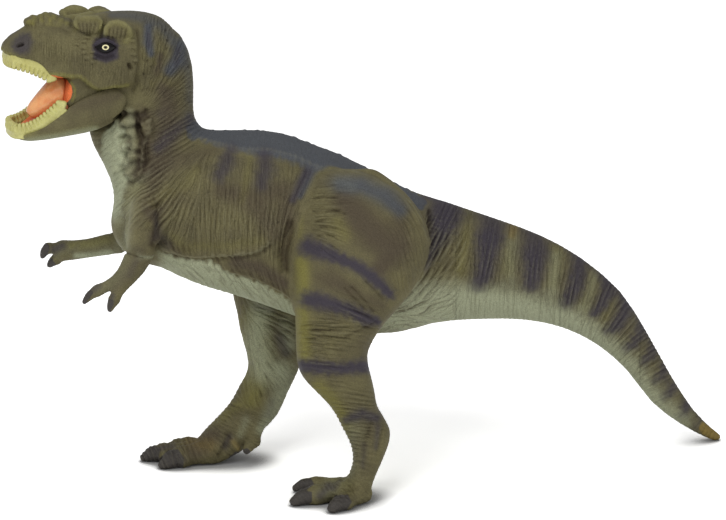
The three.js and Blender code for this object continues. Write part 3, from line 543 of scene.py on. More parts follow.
body_strokes = {
    "strength": [
        ([(205, 190), (235, 205), (270, 200)], 26, 0.12),
        ([(450, 250), (520, 270), (590, 300), (650, 360)], 24, 0.35),
        ([(160, 60), (175, 110), (165, 160), (160, 190)], 28, 0.4),
        ([(150, 200), (185, 215), (230, 228), (270, 228)], 24, 0.42),
        ([(425, 235), (410, 290), (400, 305)], 22, 0.6), ([(440, 310), (410, 315)], 16, 0.4),
        ([(132, 98), (134, 140), (133, 182)], [11, 14, 11], -0.75), ([(200, 280), (260, 290)], 14, 0.3),
    ],
    "relief": [
        ([(200, 131), (250, 138), (300, 146), (350, 166)], 6, -0.4),
        ([(300, 178), (306, 170), (314, 166)], 5, -0.5),
        ([(291, 222), (287, 238), (283, 256), (285, 272)], [3, 7, 6, 4], -1.6),
    ],
    # The valley strokes are painted shade: near the arm above the front of the shelf, and in the groin in
    # front of the thigh.
    "valley": [
        ([(160, 238), (172, 246), (190, 250)], [5, 6, 4], 0.4),
        ([(291, 224), (287, 240), (284, 256), (286, 270)], [4, 8, 7, 4], 0.9),
    ],
    "pale": [
        ([(130, 108), (130, 130), (131, 150), (130, 174)], [6, 7, 7, 6], 0.4),
        ([(512, 240), (510, 275)], 9, 0.3), ([(556, 256), (552, 290)], 8, 0.36),
        ([(470, 300), (510, 306), (560, 318), (600, 340)], [9, 9, 8, 7], 0.3),
        ([(594, 276), (586, 306)], 7, 0.3), ([(118, 205), (117, 232), (124, 250)], [7, 7, 5], 0.4),
    ],
    "brown": [
        ([(145, 100), (150, 124), (147, 150), (143, 172)], [6, 6, 6, 5], 0.35),
        ([(160, 170), (185, 158), (215, 150)], [10, 12, 8], 0.5), ([(180, 196), (160, 208)], [12, 8], 0.5),
        ([(222, 190), (250, 200), (285, 190), (288, 220)], [12, 16, 14, 12], 0.7),
        ([(166, 96), (168, 125), (160, 155), (150, 170)], [14, 18, 15, 12], 0.8),
        ([(236, 262), (260, 268), (284, 284)], [8, 9, 8], 0.9), ([(262, 215), (276, 235)], 12, 0.6),
        ([(160, 238), (178, 250)], [7, 6], 0.5), ([(154, 186), (150, 214)], [11, 9], 0.55),
    ],
    "yellow": [
        ([(196, 170), (188, 182), (168, 194), (152, 204)], [7, 11, 10, 8], 0.3),
        ([(250, 158), (247, 178), (242, 200)], [5, 6, 6], 0.3),
        ([(150, 226), (185, 246), (230, 246), (262, 240)], [7, 7, 8, 6], 0.3),
        ([(136, 190), (128, 205)], [8, 7], 0.4),
    ],
    "blue": [
        ([(312, 166), (306, 182), (300, 196)], [9, 6, 4], 0.8),
        ([(176, 46), (180, 60), (176, 76)], [8, 9, 6], 0.9),
        ([(148, 30), (148, 42), (152, 54)], [5, 5, 4], 0.8),
        ([(186, 95), (188, 112), (190, 126)], [6, 7, 6], 0.5),
    ],
    "dark": [
        ([(190, 118), (180, 128), (168, 138), (158, 148)], [8, 10, 10, 8], 0.6),
        ([(172, 100), (160, 112)], [9, 8], 0.35), ([(307, 172), (300, 184), (293, 200)], [7, 7, 5], 0.75),
        ([(160, 228), (168, 244)], 7, 0.4),
    ],
    "ochre": [([(514, 226), (512, 236)], [7, 5], 0.5)],
}
breast = [(124, 182), (150, 172), (142, 190), (128, 210)]
# The folds behind the hip: how far each lies behind its crease, and its depth in mm.
hip_folds = [(7, 0.55), (13, 0.5), (19, 0.45), (26, 0.4), (33, 0.3)]
# Small bumps down the upper edge of the hip.
hip_bumps = [(369, 178), (381, 184), (392, 190), (401, 194), (410, 199), (421, 205)]
# The throat's lumps: a path, a radius and a share of their height.
throat_lumps = [
    ([(127, 107), (133, 107.5)], 4.2, 1.1), ([(127, 121), (134, 121)], 4.2, 1.3),
    ([(131, 131), (134, 134)], 4, 1.1), ([(131, 143), (138, 147)], 4.6, 1.4),
    ([(131, 155), (139, 157)], 4.4, 1.3), ([(130, 171), (136, 175)], 5.2, 1.5),
    ([(142, 123), (145, 130)], 5.2, 1.4), ([(140, 110), (140, 115)], 3, 0.9), ([(120, 124)], 4, 1.2),
    ([(123, 147)], 4.4, 1.2), ([(123, 162)], 4.2, 1.0), ([(117, 136)], 4, 0.8), ([(112, 152)], 4, 0.6),
    ([(116, 170)], 4, 0.7),
]
# The throat's grooves: a path, a width and a share of their depth.
throat_grooves = [
    ([(131, 93), (138, 96), (144, 102), (146, 111), (145, 117)], 3.2, 1.7),
    ([(140, 101), (141, 112), (138, 122), (141, 132), (143, 142), (139, 152), (141, 162),
      (136, 174)], 3, 1.5),
    ([(124, 112), (121, 122), (125, 133), (121, 145), (127, 158), (122, 168), (128, 181)], 2.2, 0.8),
    ([(122, 113), (128, 115), (136, 115)], 2.6, 1.3), ([(122, 128), (128, 127), (137, 126)], 2, 1.0),
    ([(121, 138), (128, 137), (131, 139), (129, 150), (126, 156)], 2.4, 1.3),
    ([(126, 168), (132, 163), (139, 162)], 2.6, 1.3), ([(137, 112), (138, 124), (139, 136)], 2.2, 1.1),
    ([(147, 138), (146, 150), (147, 160), (143, 168)], 2.6, 1.2),
    ([(123, 172), (127, 180), (131, 184), (138, 180), (142, 176)], 1.8, 0.9),
    ([(129, 150), (139, 151)], 1.6, 0.7),
]
# The tail's dark stripes: a path, its widths and its strength.
tail_stripes = [
    ([(446, 196), (446, 214)], [15, 14], 0.85),
    ([(446, 214), (440, 236), (432, 250), (424, 266)], [14, 10, 8, 6], 0.95),
    ([(492, 214), (492, 236)], [15, 13], 0.85),
    ([(488, 240), (487, 258), (484, 274), (478, 288)], [10, 10, 10, 8], 1),
    ([(534, 230), (534, 246)], [15, 13], 0.8), ([(535, 258), (534, 270), (531, 284)], [11, 11, 9], 1),
    ([(581, 250), (579, 270), (576, 286), (566, 304)], [11, 9, 10, 7], 0.95),
    ([(609, 276), (608, 292), (602, 304), (594, 314)], [10, 8, 7, 5], 0.95),
    ([(628, 298), (624, 314), (616, 326), (606, 332)], [9, 8, 8, 5], 0.95),
    ([(644, 322), (640, 334), (634, 344), (624, 350)], [7, 7, 6, 4], 0.85),
    ([(655, 344), (651, 354), (643, 362)], [6, 6, 5], 0.8),
    ([(665, 366), (662, 375), (654, 382)], [6, 6, 4], 0.8),
    ([(673, 386), (669, 394), (662, 399)], [6, 5, 4], 0.8),
    ([(687, 405), (683, 414), (677, 420)], [6, 5, 4], 0.85), ([(700, 420), (694, 428)], [5, 4], 0.5),
]
# The yellow between the stripes.
tail_gaps = [
    [(468, 208), (466, 240), (460, 270)], [(511, 240), (508, 272)], [(557, 250), (552, 285)],
    [(592, 280), (584, 306)], [(613, 300), (606, 316)],
]
# How much wider and fainter than its row each stripe of the tail is drawn.
stripe_width, stripe_strength = 1.3, 0.87
# The line of the back, raised with a painted highlight along it, and the row of small bumps along it.
back_top = [(205, 136), (300, 148), (370, 172), (425, 198)]
back_line = [(198, 138), (220, 144), (240, 149), (270, 150), (296, 157), (312, 164), (330, 172)]
back_bumps, first_back_bump, back_bump_step = 34, 208, 6.3
back_bump_line = [(200, 127), (250, 129), (300, 138), (350, 158), (424, 198)]
# The shelf over the belly, with a painted highlight on its rim and painted shade under it, and the fold under
# the shelf, with a painted highlight on it and painted shade above it.
shelf = [
    (152, 243), (160, 248), (170, 252.5), (184, 256.5), (200, 258), (219, 256.5), (236, 256), (252, 254),
    (262, 250), (270, 244),
]
shelf_relief = [("relief", 0, -4, 4.5, 0.8), ("relief", 0, 2.5, 2.4, -0.9)]
shelf_paint = [("ridge", 0, -1.2, 1.7, 0.85), ("valley", 0, 2.6, 2.2, 0.5)]
belly_fold = [(208, 268), (220, 271), (232, 273), (246, 276), (256, 279), (270, 286), (282, 292), (292, 300)]
belly_fold_edge = [("relief", 0, -2, 3, 0.5), ("relief", 0, 2, 2, -0.5), ("ridge", 0, 0, 1.4, 0.6)]
# The crease behind the hip, and where the folds behind it end.
hip_edge = [(430, 210), (430, 226), (422, 251), (410, 274), (395, 292), (381, 308)]
hip_folds_end = (388, 308)
# The rear rim of the throat, and how high its lumps stand and how deep its grooves lie at a share of 1,
# in mm.
throat_rim = [(149, 119), (149, 131), (145, 140), (142, 150), (142, 160), (140, 168), (141, 175)]
throat_high, throat_deep = 1.7, 1.3
# Paint along the back, the flank and the tail.
blue_back = [(196, 130), (240, 137), (280, 142), (310, 150), (345, 166), (380, 183), (420, 203)]
flank_stripes = [([(230, 152), (226, 164), (219, 176)], 12), ([(264, 156), (266, 168), (261, 184)], 13)]
tail_top = [(425, 196), (490, 208), (540, 228), (590, 256), (630, 298), (664, 350), (690, 398), (706, 418)]
tail_tip = [(704, 428), (716, 437), (722, 441)]
# Pale areas: the throat, the chest, the belly and the underside of the tail, where the stripes fade.
throat = [(103, 133), (118, 120), (125, 128), (128, 150), (126, 178), (122, 200), (112, 215), (96, 200)]
chest = [(100, 190), (124, 180), (120, 205), (119, 240), (100, 240)]
belly = [
    (140, 248), (152, 247), (162, 252), (175, 258), (190, 261), (212, 262), (222, 268), (232, 275),
    (256, 282), (270, 289), (284, 298), (296, 306), (300, 340), (200, 340), (130, 280),
]
underside = [
    (378, 322), (394, 306), (412, 298), (440, 296), (471, 299), (510, 303), (545, 310), (575, 321),
    (597, 335), (618, 352), (640, 374), (655, 396), (672, 416), (690, 430), (690, 445), (640, 430),
    (560, 370), (480, 350), (380, 345),
]
stripe_fade = 0.75


def draw_body(c):
    """The trunk, the neck and the tail."""
    c.band("strength", back_top, 16, -0.3, 0.5)
    c.line("relief", back_line, 3.4, 0.5)
    c.line("ridge", back_line, 2.6, 0.35)
    for k in range(back_bumps):
        x = first_back_bump + back_bump_step * k
        y = np.interp(x, *zip(*back_bump_line)) + 3 * math.sin(2.4 * k)
        c.line("relief", [(x, y)], 1.8, 0.4 * abs(math.sin(1.7 * k)))
    c.edge(shelf, shelf_relief)
    c.edge(shelf, shelf_paint, ragged=True)
    c.edge(belly_fold, belly_fold_edge)
    c.line("valley", moved(belly_fold[2:], 0, -3), 2.4, 0.45)
    # The crease behind the hip and the folds behind it get painted shade, and each fold a painted highlight
    # beside it.
    c.crease(hip_edge, [2, 3, 3.4, 3.4, 3.2, 2], 1.4, [2, 2.6, 3.2, 3.2, 3, 2.2], 0.85)
    for shift, deep in hip_folds:
        trace = moved(hip_edge[1:5], shift, shift * 0.45) + moved([hip_folds_end], shift * 0.4, shift * 0.1)
        c.crease(trace, 1.8, deep, 1.7, 1.1 * deep)
        c.line("ridge", moved(trace[:4], 3, 1.5), 1.5, 0.4)
    for place in hip_bumps:
        c.line("relief", [place], 2.6, 0.5)
    # Each lump is raised, with a painted highlight on its upper part.
    for path, radius, high in throat_lumps:
        c.line("relief", path, 1.15 * radius, throat_high * high, ragged=True)
        c.line("ridge", moved(path, -0.3, -1.5), 0.7 * radius, 0.4, ragged=True)
    # The throat's rear rim is raised, with a painted highlight along it.
    c.line("relief", throat_rim, 2.6, 1.1, ragged=True)
    c.line("ridge", throat_rim, 1.6, 0.5, ragged=True)
    # Each groove is sunk and darkened by painted shade, partly painted in brown.
    for path, width, deep in throat_grooves:
        c.line("relief", path, width, -throat_deep * deep)
        c.line("valley", path, width, 0.45 * deep, ragged=True)
        c.line("brown", path, 1.6 * width, 0.4 * deep, ragged=True)
    draw_upper_arm(c)
    c.band("blue", blue_back, [10, 15, 17, 17, 13, 9, 7], 0.9)
    for path, middle_width in flank_stripes:
        c.line("dark", path, [10, middle_width, 10], 0.7, ragged=True)
    for path, widths, amount in tail_stripes:
        c.line("dark", path, [stripe_width * w for w in widths], stripe_strength * amount, ragged=True)
    c.line("dark", tail_top, [4, 4, 4, 6, 6, 6, 5, 4], 0.55)
    for path in tail_gaps:
        c.line("yellow", path, 8, 0.4)
    c.band("ochre", tail_tip, [5, 8, 8], 0.95, 0.4)
    c.patch("pale", throat, 5, 0.9)
    c.patch("pale", chest, 8, 0.85)
    c.patch("pale", belly, 3.5, 0.95)
    c.patch("pale", moved(underside, -4, -13), 19, 0.95)
    c.patch("pale", breast, 7, 0.3)
    c.strokes(body_strokes)
    # The stripes fade out on the pale underside.
    c.patch("under", moved(underside, -2, -9), 12, 1.0)
    c.layers["dark"] *= 1 - stripe_fade * c.layers["under"]


head_strokes = {
    "strength": [([(40, 45), (60, 55), (90, 70), (118, 76)], 16, 0.4)],
    "relief": [
        ([(74, 28), (80, 33), (90, 35)], 1.4, -0.8),
        ([(101, 36), (102.5, 30), (104, 24), (105, 19)], 1.7, -1.1), ([(86, 29), (84, 34)], 3.2, 0.5),
        ([(96, 27), (96, 33)], 2.6, 0.4), ([(121, 37), (127, 38)], 2.4, -0.5),
        ([(72, 24), (73, 18), (76, 15)], 1.8, -0.9),
        ([(28, 27), (36, 25), (50, 24.5), (62, 27), (70, 31)], 2.2, -0.45),
        ([(94, 57), (104, 60), (114, 57.5), (119, 52)], 1.5, 0.3),
        ([(93, 55), (104, 58), (114, 55.5)], 1.1, -0.4),
        ([(97, 38.5), (106, 36.5), (115, 38.5)], 1.1, -0.4), ([(129.5, 65), (131, 68)], 1.5, -1.8),
        ([(135, 64)], 1.2, -0.7), ([(20, 44)], 5.5, 0.5), ([(18, 45.5), (22, 44.3)], 1.5, -2.0),
        ([(146, 30), (148, 26), (153, 25), (157, 28), (156, 34)], 1.4, 0.6),
        ([(142, 86), (148, 84), (151, 88)], 2.4, 0.6),
    ],
    # Painted shade in the grooves round the brows, the eye, the nostril, the cheek and the neck.
    "valley": [
        ([(74, 28), (80, 33), (90, 35)], 1.5, 0.5), ([(101, 36), (102.5, 30), (104, 24)], 1.7, 0.6),
        ([(108, 39), (118, 41.5), (128, 40.5)], 1.6, 0.35), ([(72, 27), (72, 20)], 1.6, 0.6),
        ([(129.5, 65), (131, 68)], 1.7, 1.0), ([(135, 64)], 1.0, 0.6),
        ([(18, 45.5), (22.5, 44.3)], 1.5, 1.0), ([(142, 90), (148, 88)], 1.6, 0.5),
        ([(95, 40), (104, 36.5), (115, 40)], 1.8, 0.4), ([(97, 56), (105, 58.5), (113, 56)], 2.6, 0.7),
    ],
    "yellow": [
        ([(46, 24), (60, 25)], 2, 0.3),
        ([(64, 77.5), (70, 81.5), (74.5, 88), (75, 95), (72, 101)], 1.6, 0.7),
        ([(6, 36), (14, 30), (24, 26)], 3, 0.3), ([(152, 85), (160, 75), (170, 84)], 6, 0.25),
        ([(150, 50), (155, 64)], 2.5, 0.3),
    ],
    "dark": [
        ([(102, 35), (104, 32)], 3, 0.5), ([(96, 57), (106, 60.5), (116, 57)], 3.5, 0.8),
        ([(178, 50), (176, 62)], 5, 0.5), ([(148, 34), (149, 46)], 3, 0.5),
    ],
    "blue": [
        ([(80, 9), (88, 10)], 5, 0.7),
        ([(112, 15), (128, 15), (146, 18), (162, 26), (172, 40)], [5, 7, 8, 9, 8], 0.6),
        ([(148, 28), (148, 42), (151, 54)], [5, 6, 4], 0.95),
        ([(180, 46), (178, 60), (170, 70)], [7, 9, 7], 1.0),
        ([(184, 40), (188, 66), (190, 100)], [6, 7, 7], 0.45),
    ],
    "brown": [
        ([(160, 56), (158, 72)], [5, 6], 0.8), ([(165, 90), (170, 110), (172, 130)], [12, 15, 16], 0.8),
    ],
}
# Dark patches at the nostril and round the eye: the outline, how soft its edge is, and the strength.
head_shadows = [
    ([(14, 38), (20, 33), (30, 31), (34, 42), (30, 53), (20, 56), (12, 52), (10, 46)], 5, 0.7),
    ([(92, 46), (95, 39), (104, 36), (115, 39), (119, 46), (117, 55), (107, 60), (95, 57)], 4, 1.0),
]
# Where cracks run down the two brows, as the x of each.
rear_brow_cracks = [110, 114, 118, 122, 126]
front_brow_cracks = [79, 83, 87, 91, 95]
# Lumps along the top of the snout: x, y, radius and a height in mm.
snout_lumps = [
    (29, 23.5, 3.2, 0.9), (35, 20, 3.6, 1.1), (41, 17, 3, 0.8), (47, 16, 3.6, 1.1), (54, 18.5, 3.4, 1.0),
    (61, 22, 3.2, 0.9), (67, 25, 3, 0.7), (33, 25, 2.4, 0.4), (42, 22, 2.4, 0.4), (50, 22, 2.4, 0.4),
]
# Little pads in front of the eye and behind it: x, y and radius.
eye_pads = [
    (87, 37, 1.9), (84, 41.5, 1.9), (83.5, 47, 2.1), (84.5, 52.5, 1.9), (77, 38, 1.5), (76.5, 44, 1.5),
    (88, 58, 1.9), (93, 62, 1.7), (93, 52, 1.4), (95, 57, 1.4), (132.5, 41, 1.9), (133, 47.5, 2),
    (133, 54, 1.9), (135, 60, 1.6),
]
# The ear hole and small pits on the neck.
neck_pits = [(148, 61), (151, 67), (144, 74), (167, 49), (168, 40), (189, 67), (180, 53), (166, 30)]
# The skull, whose folds are fainter than the neck's, and the neck behind it.
skull = [
    (-12, -20), (70, -20), (112, 6), (134, 20), (139, 34), (141, 58), (138, 76), (133, 92), (60, 100),
    (-12, 100),
]
neck = [(160, 20), (167, 60), (168, 95)]
# Two chunky brows on each side, each a slab with a thick rim, with a groove between them.
front_brow = [(74, 19), (77, 17), (99, 17), (103, 21), (102.5, 27), (98, 31), (93, 34), (80, 31), (75, 26)]
rear_brow = [
    (103, 34), (105, 27), (110, 22.5), (118, 21), (125, 23), (131, 28), (132, 35), (128, 39), (119, 40),
    (110, 37),
]
# The rear edge of the cheek, the lip in front, the flange that it runs into, and the corner of the mouth.
cheek_edge = [(138, 30), (140, 45), (140, 58), (138, 72), (136, 84), (132, 90)]
upper_lip = [
    (0, 48), (4, 54), (12, 57), (20, 59), (30, 65), (40, 71), (50, 75.5), (55, 76), (63, 76), (72, 77.5),
]
# The lip's and the flange's edges each have relief, yellow paint and a painted highlight.
lip_edge = [("relief", 0, -1.5, 1.8, 0.4), ("yellow", 0, -1.0, 2.4, 0.9), ("ridge", 0, -1.0, 1.5, 0.5)]
flange = [(72, 77.5), (80, 77.5), (86, 82), (93, 88), (99, 91), (106, 90), (113, 88), (120, 87.5), (127, 86)]
flange_edge = [("relief", 0, -2.5, 2.4, 0.5), ("yellow", 0, -1.5, 2.4, 0.75), ("ridge", 0, -1.5, 1.6, 0.45)]
mouth_corner = [(50, 74), (61, 76.5), (67, 80), (71.5, 86), (72.5, 92), (71, 98), (65, 105), (50, 112)]


def draw_head(c):
    """The skull and the upper neck, drawn fine."""
    c.patch("skull", skull, 5, 1.0, ragged=False)
    c.band("strength", neck, [14, 22, 26], 0.6, 0.6)
    # Each brow's rim is raised, painted yellow and given a painted highlight, and the cracks in the brows are
    # darkened by painted shade.
    for brow, rim in ((front_brow, front_brow[8:] + front_brow[:5]), (rear_brow, rear_brow[:8])):
        c.patch("relief", brow, 1.5, 0.5, ragged=False)
        inner = [(0.88 * x + 0.12 * brow[0][0] + 1.4, y + 1.6) for x, y in rim]
        c.edge(inner, [("relief", 0, 0, 2.2, 0.55), ("yellow", 0, 0, 4.0, 0.5), ("ridge", 0, 0, 2.4, 0.6)])
    for x in rear_brow_cracks:
        c.crease([(x, 28), (x - 1.5, 38)], 0.9, 0.5, 0.9, 0.7)
    for x in front_brow_cracks:
        c.line("relief", [(x, 23), (0.7 * x + 26, 33)], 0.9, -0.45)
        c.line("valley", [(x, 24), (0.7 * x + 26, 33)], 0.9, 0.6)
    # Each lump has yellow paint on its top and painted shade down its right side.
    for x, y, r, high in snout_lumps:
        c.line("relief", [(x, y)], r, high)
        c.line("yellow", [(x, y - 1)], r, 0.6)
        c.line("valley", [(x + r, y), (x + r - 0.6, y + 3)], 1.0, 0.4)
    # Each pad has a painted highlight on its upper part and painted shade under it.
    for x, y, r in eye_pads:
        c.band("relief", [(x - 2, y), (x + 2, y + 0.3)], r, 0.55, 0.3, ragged=False)
        c.line("ridge", [(x - 1.6, y - 0.6), (x + 1.6, y - 0.4)], 1.1, 0.35)
        c.band("valley", [(x - 2.4, y + r), (x + 2.4, y + r + 0.3)], 0.6, 0.6, 0.7)
    # The hollow of the eye, a little wider than the eye, and its lids, with painted shade along the lower lid.
    c.patch("relief", eye_outline(1.08), 1.0, -1.1, ragged=False)
    c.line("relief", moved(eye_arc(-1), 0, -2.2), 1.7, 0.9)
    c.line("relief", moved(eye_arc(1), 0, 2.0), 1.6, 0.7)
    c.line("valley", eye_arc(1), 2.2, 0.8)
    for outline, soft, amount in head_shadows:
        c.patch("dark", outline, soft, amount)
    c.crease(cheek_edge, 2.2, 0.9, 2.2, 0.5)
    c.line("relief", moved(cheek_edge[2:5], -4.5, 0), 3.0, 0.5)
    for place in neck_pits:
        c.crease([place], 1.3, 0.6, 1.4, 0.6)
    c.edge(upper_lip, lip_edge)
    c.edge(flange, flange_edge)
    c.patch("orange", mouth_corner, 1.2, 1.0, ragged=False)
    c.strokes(head_strokes)


near_leg_strokes = {
    "strength": [
        ([(326, 195), (328, 240)], 18, 0.5), ([(405, 215), (412, 250), (400, 280)], 14, 0.35),
        ([(350, 322), (325, 335), (320, 350)], 22, 0.65), ([(360, 405), (366, 425)], 14, 0.3),
        ([(340, 385), (360, 420), (354, 470)], 24, 0.3),
    ],
    "relief": [
        ([(372, 424), (366, 440), (362, 456), (360, 474)], 3, -0.7),
        ([(383, 428), (379, 446), (376, 462)], 2, -0.5),
    ],
    "valley": [([(372, 424), (366, 440), (362, 456)], 3, 0.4), ([(383, 428), (379, 446)], 2, 0.4)],
    "yellow": [
        ([(302, 262), (303, 280), (303, 296)], 8, 0.9),
        ([(302, 312), (303, 335), (304, 355)], [8, 9, 8], 0.85), ([(320, 318), (330, 345)], [9, 10], 0.2),
        ([(318, 388), (330, 400), (344, 420)], [10, 11, 7], 0.75), ([(338, 222), (345, 236)], [10, 9], 0.4),
        ([(300, 215), (300, 240)], 5, 0.45), ([(344, 420), (342, 450), (338, 476)], 8, 0.5),
        ([(346, 486), (322, 490)], 10, 0.3),
    ],
    "brown": [
        ([(318, 280), (330, 282)], 10, 0.5),
        ([(345, 200), (365, 225), (392, 250), (380, 268)], [16, 22, 18, 12], 0.9),
        ([(366, 345), (368, 358)], [14, 12], 0.5), ([(368, 412), (372, 440), (364, 470)], [8, 8, 9], 0.25),
        ([(340, 286), (362, 296), (382, 306)], [8, 10, 8], 0.5), ([(400, 222), (404, 244)], [12, 10], 0.6),
        ([(330, 270), (350, 288)], 10, 0.35),
    ],
    "pale": [([(352, 430), (346, 470), (326, 492)], 14, 0.26), ([(338, 183), (352, 186)], 8, 0.16)],
    "blue": [
        ([(340, 184), (362, 186), (384, 196), (400, 210)], [8, 10, 12, 9], 0.8),
        ([(330, 184), (350, 186)], 12, 0.3),
    ],
    "dark": [
        ([(346, 420), (362, 414), (376, 418)], [6, 8, 7], 0.75), ([(378, 428), (376, 448)], 4, 0.5),
        ([(364, 446), (362, 466)], 5, 0.4), ([(328, 486), (320, 496)], 6, 0.6),
        ([(342, 476), (334, 488)], [4, 5], 0.5),
    ],
}
# Folds across the leg: y, the first and the last x, and a depth.
leg_folds = [
    (185, 322, 348, 0.4), (196, 314, 338, 0.7), (199, 336, 352, 0.35), (209, 312, 340, 0.85),
    (212, 330, 346, 0.5), (220, 314, 342, 0.5), (227, 312, 336, 0.7), (234, 316, 334, 0.6),
    (324, 302, 330, 0.6), (330, 300, 340, 0.6), (337, 306, 350, 0.8), (343, 300, 326, 0.4),
    (350, 314, 346, 0.5), (327, 330, 378, 0.6), (358, 322, 330, 0.4),
]
thigh_creases = [
    [(376, 322), (362, 330), (346, 337)], [(352, 287), (364, 300), (374, 312)],
    [(344, 288), (356, 300), (366, 310)], [(366, 282), (378, 294), (384, 300)],
    [(372, 318), (358, 312), (350, 306)],
]
# Dark stripes across the thigh: a path and its widths.
thigh_stripes = [
    ([(308, 247), (320, 251), (341, 259), (360, 268), (378, 282), (390, 294)], [12, 11, 8, 8, 8, 6]),
    ([(308, 299), (320, 301), (337, 306), (352, 311), (366, 319), (378, 322)], [10, 11, 9, 8, 9, 5]),
    ([(303, 366), (320, 367), (340, 369), (358, 367), (370, 366)], [8, 9, 7, 9, 8]),
]
# The upper edge of the thigh, where it stands out from the trunk, with a painted highlight along it.
thigh_edge = [
    (316, 176), (323, 171), (338, 170), (354, 171), (373, 177), (394, 190), (409, 202), (421, 220),
    (426, 238),
]
thigh_relief = [("relief", 0, 3, 4.5, 0.9), ("relief", 1.5, -2, 2.6, -0.6)]
# How many scutes run down the front of the foot, and how many rings lie on the toes.
near_scutes, near_toe_rings = 26, 9


def draw_near_leg(c):
    """The left leg, nearer to the camera."""
    c.edge(thigh_edge, thigh_relief)
    c.line("ridge", moved(thigh_edge[2:], 0, 1.5), 2.6, 0.35)
    # Folds, creases, scutes and toe rings are sunk and darkened by painted shade.
    for y, x0, x1, deep in leg_folds:
        trace = [(x0, y + 2.5), (0.6 * x0 + 0.4 * x1, y), (0.3 * x0 + 0.7 * x1, y + 0.8), (x1, y + 2)]
        c.crease(trace, [0.9, 1.8, 1.8, 0.9], 0.9 * deep, [0.8, 1.5, 1.5, 0.8], 0.6 * deep)
        c.line("relief", moved(trace, 0, -2.4), 1.6, 0.35 * deep)
    for path in thigh_creases:
        c.crease(path, 1.6, 0.6, 1.4, 0.4)
    for k in range(near_scutes):
        y = 400 + 4.0 * k
        middle = 341 + 12 * math.sin((y - 396) / 34)
        c.line("relief", [(middle - 12, y - 1), (middle + 5, y + 1.5)], 1.2, -0.3)
        c.line("valley", [(middle - 11, y - 1), (middle + 4, y + 1.5)], 1.1, 0.25)
    for k in range(near_toe_rings):
        x = 322 + 4.2 * k
        c.crease([(x - 3, 478 + 1.2 * k), (x + 2, 490)], 1.1, 0.35, 1.0, 0.3)
        c.crease([(344 + 2.6 * k, 492 - k), (350 + 2.6 * k, 501 - k)], 1.0, 0.35, 0.9, 0.35)
    for path, widths in thigh_stripes:
        c.line("dark", path, widths, 0.95, ragged=True)
    for outline in near_claws:
        c.patch("claw", outline, 2.2, 0.95, ragged=False)
    c.strokes(near_leg_strokes)


far_leg_strokes = {
    "strength": [([(270, 310), (282, 330)], 16, 0.4)],
    # A groove with painted shade beside the knob over the small claw, and a painted highlight on the knob.
    "relief": [([(228, 434), (226, 446), (220, 456)], 3, -1.1), ([(232, 440), (237, 447)], 4, 1.2)],
    "valley": [([(229, 434), (226, 446), (220, 454)], 4.5, 0.45)],
    "ochre": [([(233, 441), (237, 447)], 3.4, 0.6), ([(190, 440), (210, 446)], 10, 0.4)],
    "ridge": [([(233, 440), (236, 445)], 2.4, 0.5)],
    "pale": [
        ([(262, 306), (256, 340), (264, 370), (282, 372)], [14, 16, 17, 14], 0.74),
        ([(286, 322), (290, 345)], [9, 8], 0.5), ([(284, 392), (268, 420), (262, 430)], [12, 9, 7], 0.6),
        ([(246, 420), (240, 435)], [6, 5], 0.35),
    ],
    "brown": [([(276, 330), (284, 350)], 12, 0.7), ([(208, 436), (196, 448)], [17, 15], 0.9)],
    "dark": [
        ([(280, 338), (286, 352)], 7, 0.45), ([(272, 402), (268, 414)], 6, 0.35),
        ([(258, 306), (270, 308)], 6, 0.4), ([(230, 437), (225, 447)], 5, 0.5),
        ([(160, 448), (172, 446)], 5, 0.6), ([(184, 460)], 5, 0.4),
    ],
    "yellow": [
        ([(240, 320), (242, 350), (244, 380)], [6, 6, 7], 0.4),
        ([(258, 320), (262, 370), (252, 400)], [14, 14, 12], 0.6),
        ([(236, 405), (215, 420), (196, 430)], [8, 8, 7], 0.4),
    ],
}
far_leg_creases = [
    [(262, 312), (276, 320), (292, 322)], [(262, 322), (280, 330), (292, 332)],
    [(268, 345), (278, 360), (286, 366)], [(256, 352), (262, 372), (272, 384)],
    [(250, 362), (254, 382), (262, 396)], [(262, 350), (270, 366), (280, 378)],
]
# How many scutes run down the far foot.
far_scutes = 26


def draw_far_leg(c):
    """The right leg, as far as it shows behind the left one."""
    # The scutes and creases are sunk and darkened by painted shade.
    for k in range(far_scutes):
        x, y = 240 - 4.0 * k, 400 + 2.4 * k
        c.line("relief", [(x - 5, y - 7), (x + 5, y + 9)], 1.2, -0.22)
        c.line("valley", [(x - 4, y - 6), (x + 5, y + 8)], 1.1, 0.3)
        c.line("relief", [(236 - 2.2 * k, 414 + 2.4 * k), (250 - 2.2 * k, 418 + 2.4 * k)], 1.0, -0.2)
    for path in far_leg_creases:
        c.crease(path, 2.0, 0.5, 1.6, 0.3)
    for outline in far_claws:
        c.patch("claw", outline, 2.2, 0.95, ragged=False)
    c.strokes(far_leg_strokes)


arms_strokes = {
    "relief": [([(123, 252), (130, 254), (138, 257), (146, 258)], 1.0, -0.7)],
    "pale": [
        ([(130, 240), (120, 268), (104, 290)], 14, 0.22), ([(112, 246), (60, 250)], 12, 0.2),
        ([(112, 253), (95, 256), (76, 256)], [4, 4, 3], 0.8),
    ],
    "valley": [([(124, 252), (130, 254), (138, 257), (143, 258)], 1.1, 1.0)],
    "dark": [
        ([(136, 262), (130, 275)], [5, 6], 0.3), ([(98, 286), (90, 292)], [6, 5], 0.55),
        ([(112, 296), (110, 306)], 4, 0.55), ([(78, 246), (72, 252)], 3, 0.3),
        ([(62, 246), (54, 250)], 6, 0.6),
    ],
    "brown": [([(140, 250), (128, 275), (114, 290)], [7, 8, 7], 0.5)],
    "yellow": [([(110, 240), (90, 244), (72, 246)], [6, 6, 5], 0.5)],
}


def draw_arms(c):
    """Both forearms and their hands."""
    for outline in hand_claws:
        c.patch("claw", outline, 1.2, 0.9)
    draw_upper_arm(c)
    c.strokes(arms_strokes)


